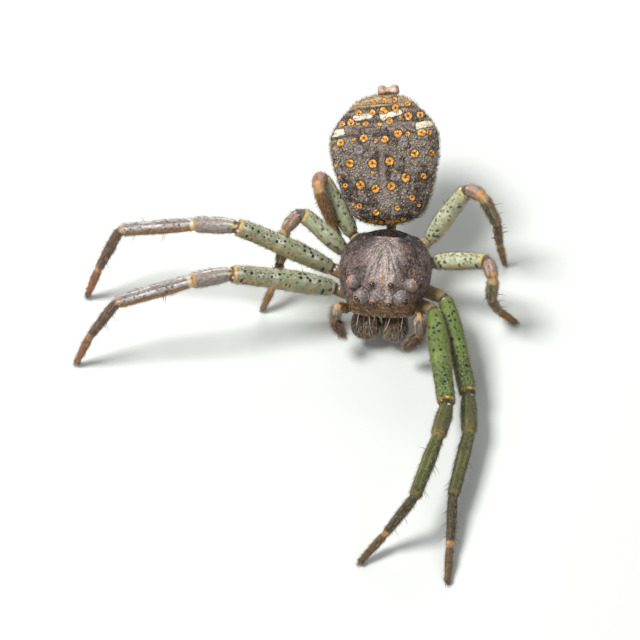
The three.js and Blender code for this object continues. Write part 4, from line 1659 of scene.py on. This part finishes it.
def spider_legs() -> list[Leg]:
    """The eight legs in the photo's pose."""
    first, second = (0.95, -1.08, -0.86), (0.95, -0.36, -0.86)
    third, fourth = (0.95, 0.36, -0.86), (0.85, 1.06, -0.86)
    return [
        Leg("r1", Pair.FIRST, Side.RIGHT, first, (-2.08, -0.9, 2.08),
            (77, 66, 76, 57, 54), (21, 6, -16, -51), SAGE),
        Leg("r2", Pair.SECOND, Side.RIGHT, second, (-2.28, 0.02, 2.18),
            (92, 95, 88, 49, 53), (28, -10, -12, -58), SAGE),
        Leg("r3", Pair.THIRD, Side.RIGHT, third, (-1.86, 0.93, 2.22),
            (107, 49, 10, 22, 42), (39, -37, -61, -50), CREAM, 0.15),
        Leg("r4", Pair.FOURTH, Side.RIGHT, fourth, (-1.62, 1.85, 2.18),
            (131, 1, -63, -112, -106), (48, 20, -69, -78), CREAM, 0.15),
        Leg("l1", Pair.FIRST, Side.LEFT, first, (2.08, -1.78, 2.27),
            (11.5, -8, -12, -50, -43), (-3, 4, 2, -46), SHADED_GREEN),
        Leg("l2", Pair.SECOND, Side.LEFT, second, (2.44, -0.83, 1.95),
            (17.5, 6, -7, 2, 1), (-10, -3, -2, -14), SHADED_GREEN),
        Leg("l3", Pair.THIRD, Side.LEFT, third, (1.82, 0.66, 2.35),
            (77, 16, -155, 141, 85), (24, 1, -86, -68), CREAM, 0.15),
        Leg("l4", Pair.FOURTH, Side.LEFT, fourth, (1.53, 1.91, 2.15),
            (127, 46, 119, 95, 68), (51, 21, -72, -84), CREAM, 0.15),
    ]


# Studio

@dataclass(frozen=True)
class FloorFinish:
    """A plain pale floor."""

    name: str = "floor_finish"
    tone: str = "c4c6c2"

    def material(self) -> bpy.types.Material:
        """The floor's material."""
        graph = Graph(self.name)
        place = graph.node("ShaderNodeTexCoord").outputs["Object"]
        cloud = graph.noise(place, 40.0, 2.0)
        colour = graph.mix(cloud * 0.08, shade(self.tone), shade("b4b6b2"))
        return graph.surface({"Base Color": colour}, {"Roughness": 0.85})


@dataclass
class Studio:
    """Floor, soft lights and the camera at the photo's angle."""

    azimuth: float = 6.0
    elevation: float = 53.0
    pixels_per_mm: float = 24.5
    body_pixel: tuple[float, float] = (387.8, 266.0)
    lens: float = 250.0

    def floor(self) -> None:
        """A wide floor at the feet."""
        deselect()
        bpy.ops.mesh.primitive_plane_add(size=0.6, location=(0, 0, 0))
        plane = bpy.context.active_object
        plane.name = "floor"
        bpy.ops.object.mode_set(mode="EDIT")
        bpy.ops.mesh.subdivide(number_cuts=6)
        bpy.ops.object.mode_set(mode="OBJECT")
        dress(plane, FloorFinish().material())

    def light(
        self, name: str, place: tuple[float, float, float], size: float, power: float
    ) -> None:
        """A soft square light that faces the spider."""
        deselect()
        bpy.ops.object.light_add(type="AREA", location=place)
        lamp = bpy.context.active_object
        lamp.name = name
        lamp.data.size = size
        lamp.data.energy = power
        aim = Vector((0, 0, 0.002)) - Vector(place)
        lamp.rotation_euler = aim.to_track_quat("-Z", "Y").to_euler()

    def lights(self) -> None:
        """Key, fill and back light, and a pale surround."""
        self.light("key", (-0.08, 0.0, 0.15), 0.06, 0.46)
        self.light("fill", (0.12, -0.1, 0.1), 0.1, 0.08)
        self.light("back", (0.0, 0.15, 0.09), 0.08, 0.12)
        world = bpy.data.worlds.new("surround")
        world.use_nodes = True
        world.node_tree.nodes["Background"].inputs[0].default_value = (0.86, 0.9, 0.92, 1)
        world.node_tree.nodes["Background"].inputs[1].default_value = 0.32
        bpy.context.scene.world = world
        bpy.context.scene.view_settings.view_transform = "Standard"

    def camera(self) -> None:
        """A long lens, so that the view is as flat as the photo's."""
        a, e = math.radians(self.azimuth), math.radians(self.elevation)
        right = Vector((math.cos(a), math.sin(a), 0))
        rise = Vector((-math.sin(a) * math.sin(e), math.cos(a) * math.sin(e), math.cos(e)))
        back = right.cross(rise)
        across = (320 - self.body_pixel[0]) / self.pixels_per_mm
        up = (self.body_pixel[1] - 320) / self.pixels_per_mm
        middle = Vector((SHIFT[0], SHIFT[1], STANCE.rim_height))
        target = (middle + right * across + rise * up) * MM
        width = 640 / self.pixels_per_mm * MM
        distance = width * self.lens / 36.0
        deselect()
        bpy.ops.object.camera_add(location=target + back * distance)
        camera = bpy.context.active_object
        camera.data.lens = self.lens
        camera.data.sensor_width = 36.0
        camera.data.clip_start = 0.001
        camera.data.clip_end = 5.0
        camera.matrix_world = Matrix.Translation(target + back * distance) @ Matrix(
            (right, rise, back)
        ).transposed().to_4x4()
        bpy.context.scene.camera = camera

    def build(self) -> None:
        """Makes the whole studio."""
        self.floor()
        self.lights()
        self.camera()


# Small parts

@dataclass(frozen=True)
class HideFinish:
    """Mottled hide for small parts."""

    name: str
    dark: str
    base: str
    pale: str
    orange: str
    glow: float = 0.5

    def material(self) -> bpy.types.Material:
        """The hide's material."""
        graph = Graph(self.name)
        where = graph.node("ShaderNodeTexCoord").outputs["Object"]
        node = graph.node(
            "ShaderNodeMapping", None, {"Vector": where, "Scale": (1000.0, 1000.0, 1000.0)}
        )
        place = node.outputs[0]
        patch = graph.noise(place, 1.8, 4.0, 0.6)
        mottle = graph.noise(place, 7.0, 4.0, 0.65, 0.3)
        fine = graph.noise(place, 30.0, 3.0, 0.7)
        colour = graph.mix(mottle.rise(0.4, 0.62), shade(self.dark), shade(self.base))
        colour = graph.mix(patch.rise(0.5, 0.7) * 0.5, colour, shade(self.pale))
        fleck = graph.cells(place, 5.5).rise(0.32, 0.18) * patch.rise(0.4, 0.6)
        colour = graph.mix(fleck * self.glow, colour, shade(self.orange))
        height = mottle + fine * 0.5
        return graph.surface(
            {
                "Base Color": colour,
                "Roughness": mottle * 0.25 + 0.35,
                "Normal": graph.bump(height, 0.00003, 0.7),
            },
            {"Specular IOR Level": 0.5},
        )


JAW_HIDE = HideFinish("jaw_finish", "1c1009", "5a3817", "8a6438", "b06a2c", 0.8)
UNDER_HIDE = HideFinish("under_finish", "5a4a34", "84704e", "a89871", "a9743a", 0.35)
TAIL_HIDE = HideFinish("tail_finish", "8a6e58", "b99a86", "dcc6b8", "a9743a", 0.2)
CLAW_HIDE = HideFinish("claw_finish", "0d0806", "1d120c", "3a2416", "3a2416", 0.2)


@dataclass(frozen=True)
class PalpFinish:
    """Brown base, a pale streaked middle with orange rims, and a dark end."""

    name: str = "palp_finish"
    base: str = "6b4a2e"
    middle: str = "85766a"
    end: str = "432a1b"
    dark: str = "2a1a11"
    rim: str = "c98f3c"
    pale: str = "c9bba8"

    def material(self) -> bpy.types.Material:
        """The palp's material."""
        graph = Graph(self.name)
        place = graph.vector("limb")
        stage = graph.number("stage")
        gap = graph.number("gap")
        across, rise, run = graph.parts(place)
        mottle = graph.noise(place, 6.0, 4.0, 0.65, 0.3)
        fine = graph.noise(place, 26.0, 3.0, 0.7)
        lines = graph.noise(graph.join(across * 16.0, rise * 16.0, run * 2.5), 1.0, 3.0)
        jag = (mottle - 0.5) * 0.3
        oval = stage.band(1.5, 0.47, 0.04)
        colour = graph.mix(oval, shade(self.base), shade(self.middle))
        colour = graph.mix(stage.rise(1.97, 2.03), colour, shade(self.end))
        colour = graph.mix(oval * lines.rise(0.5, 0.4) * 0.75, colour, shade(self.dark))
        colour = graph.mix(oval * lines.rise(0.56, 0.66) * 0.6, colour, shade(self.pale))
        colour = graph.mix((1 - oval) * mottle.rise(0.5, 0.4) * 0.8, colour, shade(self.dark))
        ends = (gap + jag).band(0.03, 0.03, 0.04) * stage.rise(0.6, 0.8)
        colour = graph.mix(ends * mottle.rise(0.42, 0.52) * 0.8, colour, shade(self.rim))
        height = mottle + lines * 0.5 + fine * 0.4
        return graph.surface(
            {
                "Base Color": colour,
                "Roughness": mottle * 0.25 + 0.38,
                "Normal": graph.bump(height, 0.00003, 0.9),
            },
            {"Specular IOR Level": 0.45},
        )


@dataclass
class Jaws:
    """The two chelicerae with their fangs."""

    at: tuple[float, float, float] = (0.62, -1.86, -0.5)
    shift: float = -0.1
    length: float = 1.5
    lean: float = 19.0
    depth: float = 0.86
    radii: tuple[float, ...] = (0.5, 0.58, 0.58, 0.58, 0.5)
    blunt: float = 0.4
    fang: float = 0.42

    def build(self) -> list[Skin]:
        """Makes both jaws and fangs."""
        skins = []
        head = STANCE.head()
        for side in Side:
            lean = math.radians(self.lean)
            down = np.array([0, -math.sin(lean), -math.cos(lean)])
            start = np.array(self.at) * np.array([side.value, 1, 1])
            start[0] += self.shift
            rings = 60
            piece, ring, around = globe(f"skin_chelicera_{side.letter}", 48, rings)
            t = (1 - np.cos(ring / rings * math.pi)) / 2
            close = np.clip(np.sin(t * math.pi), 0, 1) ** self.blunt
            radius = curve(self.radii)(t) * close * 0.975
            across = np.array([1.0, 0, 0])
            back = np.cross(across, down)
            wide = bulge(np.cos(around), 0.72)
            wide = np.where(wide * side.value < 0, wide * 1.09, wide)
            deep = bulge(np.sin(around), 0.78) * self.depth
            points = start + down * (t * self.length)[:, None] + radius[:, None] * (
                across * wide[:, None] + back * deep[:, None]
            )
            set_points(piece, turned(head, points))
            smooth(piece)
            dress(piece, JAW_HIDE.material())
            comb = np.tile(down, (len(points), 1)) @ np.array(head)[:3, :3].T
            unwrap = np.stack([around / (2 * math.pi) + 0.5, t], 1)
            skins.append(Skin(piece, comb, unwrap, {"t": t, "front": -np.sin(around)}))
            self._fang(side, start + down * (self.length - 0.16), head)
        return skins

    def _fang(self, side: Side, hinge: np.ndarray, head: Matrix) -> None:
        """A short curved fang."""
        piece, ring, around = globe(f"fang_{side.letter}", 20, 24)
        t = ring / 24
        aim = unit(np.array([-side.value * 0.6, 0.3, -0.7]))
        curl = np.array([-side.value * 1.0, 0.1, 0.2])
        path = hinge + aim * (t * self.fang)[:, None] + curl * (0.06 * t**2)[:, None]
        thick = 0.085 * (1 - t) ** 0.6 * round_end(t * 5)
        across = unit(np.cross(aim, [0.0, 1.0, 0.0]))
        other = np.cross(aim, across)
        points = path + thick[:, None] * (
            across * np.cos(around)[:, None] + other * np.sin(around)[:, None]
        )
        set_points(piece, turned(head, points))
        smooth(piece)
        dress(piece, CLAW_HIDE.material())
        settle(piece, [])


@dataclass
class Palps:
    """The two palps beside the jaws."""

    right: tuple[tuple[float, float, float], ...] = (
        (-1.46, -1.72, 1.8), (-1.8, -2.08, 2.54), (-1.97, -2.4, 1.94), (-1.48, -2.74, 1.3),
    )
    left: tuple[tuple[float, float, float], ...] = (
        (1.42, -1.98, 1.8), (1.5, -2.44, 2.74), (1.6, -2.8, 1.92), (1.0, -2.98, 1.12),
    )
    girth: tuple[tuple[float, float, float], ...] = (
        (0.18, 0.21, 0.19), (0.19, 0.272, 0.21), (0.18, 0.24, 0.13),
    )

    def build(self) -> list[Skin]:
        """Makes both palps."""
        skins = []
        for side, joints in ((Side.RIGHT, self.right), (Side.LEFT, self.left)):
            places = np.array(joints) + np.array([SHIFT[0], SHIFT[1], 0.0])
            tube = Tube(
                name=f"skin_palp_{side.letter}", joints=places, girth=list(self.girth),
                trim=0.12, pinch=0.3, sides=28, step=0.03, start_cap=0.15, end_cap=0.15,
            )
            skin = tube.build()
            dress(skin.piece, PalpFinish().material())
            skins.append(skin)
        return skins


@dataclass
class Underside:
    """Sternum, mouthparts, waist and spinnerets."""

    sternum: Loft = Loft(
        start=-0.68, end=1.36, front_cap=0.3, rear_cap=0.5,
        half_width=(0.55, 0.7, 0.72, 0.62, 0.42), top=(0.28,) * 5,
        bottom=(0.24, 0.3, 0.32, 0.3, 0.24), centre=(-0.88,) * 5,
        side_power=0.9, top_power=0.7, bottom_power=0.9,
    )

    def lobe(
        self, name: str, start: np.ndarray, aim: np.ndarray, length: float,
        radii: tuple[float, float, float],
    ) -> bpy.types.Object:
        """A round-ended lobe."""
        rings = 28
        piece, ring, around = globe(name, 24, rings)
        t = (1 - np.cos(ring / rings * math.pi)) / 2
        first, middle, last = radii
        reach = curve((first, middle, (middle + last) / 2, last))(t)
        depth = t * length
        reach = reach * round_end(depth / (first * 0.5)) * round_end(
            (length - depth) / (last * 0.5)
        )
        aim = unit(aim)
        helper = np.array([0.0, 0.0, 1.0]) if abs(aim[2]) < 0.9 else np.array([0.0, 1.0, 0.0])
        across = unit(np.cross(aim, helper))
        other = np.cross(aim, across)
        points = start + aim * depth[:, None] + reach[:, None] * (
            across * np.cos(around)[:, None] + other * np.sin(around)[:, None]
        )
        set_points(piece, points)
        return piece

    def build(self) -> None:
        """Makes all of the underside."""
        head, own = STANCE.head(), STANCE.abdomen()
        shield, _ = self.sternum.build("skin_sternum", 64, 60)
        set_points(shield, turned(head, points_of(shield)))
        smooth(shield)
        dress(shield, UNDER_HIDE.material())
        settle(shield, ["sternum"])

        down = math.radians(-74)
        aim = np.array([0, -math.cos(down), math.sin(down)])
        lobes = [
            self.lobe("maxilla_r", np.array([-0.34, -0.96, -0.92]), aim, 0.8,
                      (0.17, 0.21, 0.15)),
            self.lobe("labium", np.array([0, -0.98, -0.95]), aim, 0.6, (0.155, 0.19, 0.135)),
            self.lobe("maxilla_l", np.array([0.34, -0.96, -0.92]), aim, 0.8,
                      (0.17, 0.21, 0.15)),
        ]
        mouth = fuse("skin_mouthparts", lobes, 0.03, 2)
        set_points(mouth, turned(head, points_of(mouth)))
        dress(mouth, UNDER_HIDE.material())
        settle(mouth, ["mouthparts"])

        waist = self.lobe("skin_pedicel", np.array([0, 1.15, -0.56]),
                          np.array([0, 1, 0.0175]), 1.05, (0.2, 0.2, 0.2))
        set_points(waist, turned(head, points_of(waist)))
        smooth(waist)
        dress(waist, UNDER_HIDE.material())
        settle(waist, ["pedicel"])

        rear = np.array([0.23, 5.46, -1.2])
        lobes = [self.lobe("tail_base", rear, np.array([0, 1.0, 0]), 0.32, (0.28, 0.32, 0.26))]
        for side in (-1, 1):
            for level in (-1, 1):
                start = rear + np.array([side * 0.23, 0, level * 0.15])
                aim = np.array([side * 0.12, 1, (level - 1) * 0.1])
                lobes.append(self.lobe("tail_lobe", start, aim, 0.4, (0.19, 0.205, 0.145)))
        tail = fuse("skin_spinnerets", lobes, 0.022, 2)
        set_points(tail, turned(own, points_of(tail)))
        dress(tail, TAIL_HIDE.material())
        settle(tail, ["spinnerets"])


# Coats

@dataclass
class Dressing:
    """All hairs, from short down to single long bristles."""

    PALE_BRISTLES = (
        (-0.92, -0.05, 0.85), (-0.5, 0.35, 0.95), (0.4, -0.45, 0.95), (0.89, -0.3, 0.9),
        (0.02, 0.1, 0.5), (-0.25, -0.15, 0.4),
    )
    DARK_BRISTLES = (
        (-1.15, -0.1, 1.05), (-0.7, 0.1, 1.45), (-0.2, 0.12, 1.5), (0.25, -0.1, 1.45),
        (0.7, -0.1, 1.3), (1.1, 0.1, 1.0),
    )

    seed: int = 7
    share: float = 1.0

    def __post_init__(self) -> None:
        """Seeds the draw."""
        self.rng = np.random.default_rng(self.seed)

    def _some(self, count: int) -> int:
        return max(20, int(count * self.share))

    def carapace(self, skin: Skin) -> None:
        """Short flat rays over the shield, kept clear of the eyes."""
        rng = self.rng
        coat = Coat("coat_carapace")
        plan = skin.fields["plan"]
        free = (plan[:, 2] > 0.0) * (skin.fields["eye"] > 1.3)
        count = self._some(5000)
        places = skin.scatter(count, free * 1.0, rng)
        tone = np.where(rng.random(count) < 0.3, rng.uniform(0.4, 0.9, count),
                        rng.uniform(0.0, 0.3, count))
        coat.add(places, rng.uniform(0.08, 0.17, count), 0.009, rng.uniform(8, 32, count),
                 0.5, tone, rng, 0.4)
        piece = coat.build()
        dress(piece, HairFinish("carapace_hair", "2b211c", "a89c8e").material())
        settle(piece, [])

    def abdomen(self, skin: Skin) -> None:
        """Short stiff hairs that lie back and stand out at the outline."""
        rng = self.rng
        coat = Coat("coat_abdomen")
        count = self._some(9000)
        free = (skin.fields["ring"] > 0.9) * 1.0
        places = skin.scatter(count, free, rng)
        tone = np.where(rng.random(count) < 0.6, rng.uniform(0.55, 1.0, count),
                        rng.uniform(0.0, 0.3, count))
        coat.add(places, rng.uniform(0.1, 0.24, count), 0.012, rng.uniform(25, 60, count),
                 0.45, tone, rng, 0.5)
        piece = coat.build()
        dress(piece, HairFinish("abdomen_hair", "2e231b", "cdbfa8").material())
        settle(piece, [])

    def leg(self, leg: Leg, skin: Skin) -> None:
        """Fine down, standing bristles, and a claw tuft."""
        rng = self.rng
        coat = Coat(f"coat_leg_{leg.name}")
        stage = skin.fields["stage"]
        far = np.clip(0.4 + 0.35 * stage, 0.4, 2.2) * (stage > 0.7)
        big = leg.pair in (Pair.FIRST, Pair.SECOND)
        count = self._some(3600 if big else 2200)
        places = skin.scatter(count, far, rng)
        tone = np.where(rng.random(count) < 0.5, rng.uniform(0.5, 1.0, count),
                        rng.uniform(0.0, 0.3, count))
        coat.add(places, rng.uniform(0.1, 0.22, count), 0.011, rng.uniform(22, 48, count),
                 0.4, tone, rng, 0.3)
        for where, level in leg.spines:
            near = np.exp(-(((stage - where) / 0.02) ** 2))
            near *= np.exp(-(((skin.fields["dorsal"] - level) / 0.08) ** 2))
            number = 1 if level > 0 else 2
            spots = skin.scatter(number, near + 1e-9, rng)
            coat.add(spots, rng.uniform(0.38, 0.5, number), 0.03, rng.uniform(55, 72, number),
                     0.25, np.zeros(number), rng, 0.15)
        tuft = (stage > 5.86) * 1.0
        spots = skin.scatter(self._some(160), tuft + 1e-9, rng)
        spots["root"][:, 2] = np.maximum(spots["root"][:, 2], 0.03)
        coat.add(spots, rng.uniform(0.06, 0.12, len(spots["root"])), 0.01,
                 rng.uniform(10, 40, len(spots["root"])), 0.3,
                 rng.uniform(0, 0.4, len(spots["root"])), rng, 0.5)
        piece = coat.build()
        points = points_of(piece)
        points[:, 2] = np.maximum(points[:, 2], 0.004)
        set_points(piece, points)
        dress(piece, HairFinish(f"leg_hair_{leg.name}", "1b1511", "b9ab93").material())
        settle(piece, [])

    def jaws(self, skins: list[Skin]) -> None:
        """Bristles on the jaws' fronts."""
        rng = self.rng
        coat = Coat("coat_chelicerae")
        for skin in skins:
            front = np.clip(skin.fields["front"], 0, 1) * (skin.fields["t"] > 0.12)
            places = skin.scatter(self._some(260), front + 1e-6, rng)
            count = len(places["root"])
            coat.add(places, rng.uniform(0.1, 0.25, count), 0.012, rng.uniform(20, 50, count),
                     0.3, rng.uniform(0.2, 1.0, count), rng, 0.4)
        piece = coat.build()
        dress(piece, HairFinish("jaw_hair", "2b1a10", "d8c9b0").material())
        settle(piece, [])

    def palps(self, skins: list[Skin]) -> None:
        """Thick bristles on the palps' ends."""
        rng = self.rng
        coat = Coat("coat_palps")
        for skin in skins:
            stage = skin.fields["stage"]
            places = skin.scatter(self._some(600), np.clip(stage - 0.6, 0.05, 2), rng)
            count = len(places["root"])
            coat.add(places, rng.uniform(0.14, 0.32, count), 0.013, rng.uniform(25, 55, count),
                     0.3, rng.uniform(0.0, 0.6, count), rng, 0.4)
        piece = coat.build()
        dress(piece, HairFinish("palp_hair", "1f140d", "c4a98a").material())
        settle(piece, [])

    def clypeus(self) -> None:
        """The long pale bristles that hang before the jaws."""
        rng = self.rng
        head = STANCE.head()
        coat = Coat("coat_clypeus")
        turn = np.array(head)[:3, :3].T
        for pale, rows in ((1.0, self.PALE_BRISTLES), (0.1, self.DARK_BRISTLES)):
            across, swing, length = (np.array(column) for column in zip(*rows))
            count = len(across)
            root = np.stack([across, np.full(count, -2.2), np.full(count, -0.12)], 1)
            normal = unit(np.stack([across * 0.2, np.full(count, -1.0), np.full(count, 0.1)], 1))
            comb = unit(np.stack([swing, np.full(count, -0.2), np.full(count, -1.0)], 1))
            places = {
                "root": turned(head, root), "normal": normal @ turn, "comb": comb @ turn,
                "unwrap": np.stack([across * 0.2 + 0.5, np.full(count, 0.03)], 1),
            }
            coat.add(places, length, 0.014 + 0.005 * pale, np.full(count, 42.0), 0.7,
                     np.full(count, pale), rng, 0.06)
        piece = coat.build()
        dress(piece, HairFinish("clypeus_hair", "6b5c48", "e6dcc8").material())
        settle(piece, [])


def main() -> None:
    """Builds the studio and the spider, piece by piece."""
    logging.basicConfig(level=logging.INFO, format="%(message)s")
    Studio().build()
    dressing = Dressing()
    carapace = Carapace().build()
    dressing.carapace(carapace)
    settle(carapace.piece, ["carapace"])
    abdomen = Abdomen().build()
    dressing.abdomen(abdomen)
    settle(abdomen.piece, ["abdomen"])
    for leg in spider_legs():
        skin = leg.build()
        dressing.leg(leg, skin)
        settle(skin.piece, leg.nodes())
        claw = leg.claws()
        dress(claw, CLAW_HIDE.material())
        settle(claw, [])
    jaws = Jaws().build()
    dressing.jaws(jaws)
    for skin, side in zip(jaws, Side):
        settle(skin.piece, [f"chelicera_{side.letter}"])
    palps = Palps().build()
    dressing.palps(palps)
    for skin, side in zip(palps, (Side.RIGHT, Side.LEFT)):
        nodes = [f"palp_{side.letter}_base", f"palp_{side.letter}_end"]
        settle(skin.piece, nodes)
    dressing.clypeus()
    Eyes().build()
    Underside().build()


if __name__ == "__main__":
    main()
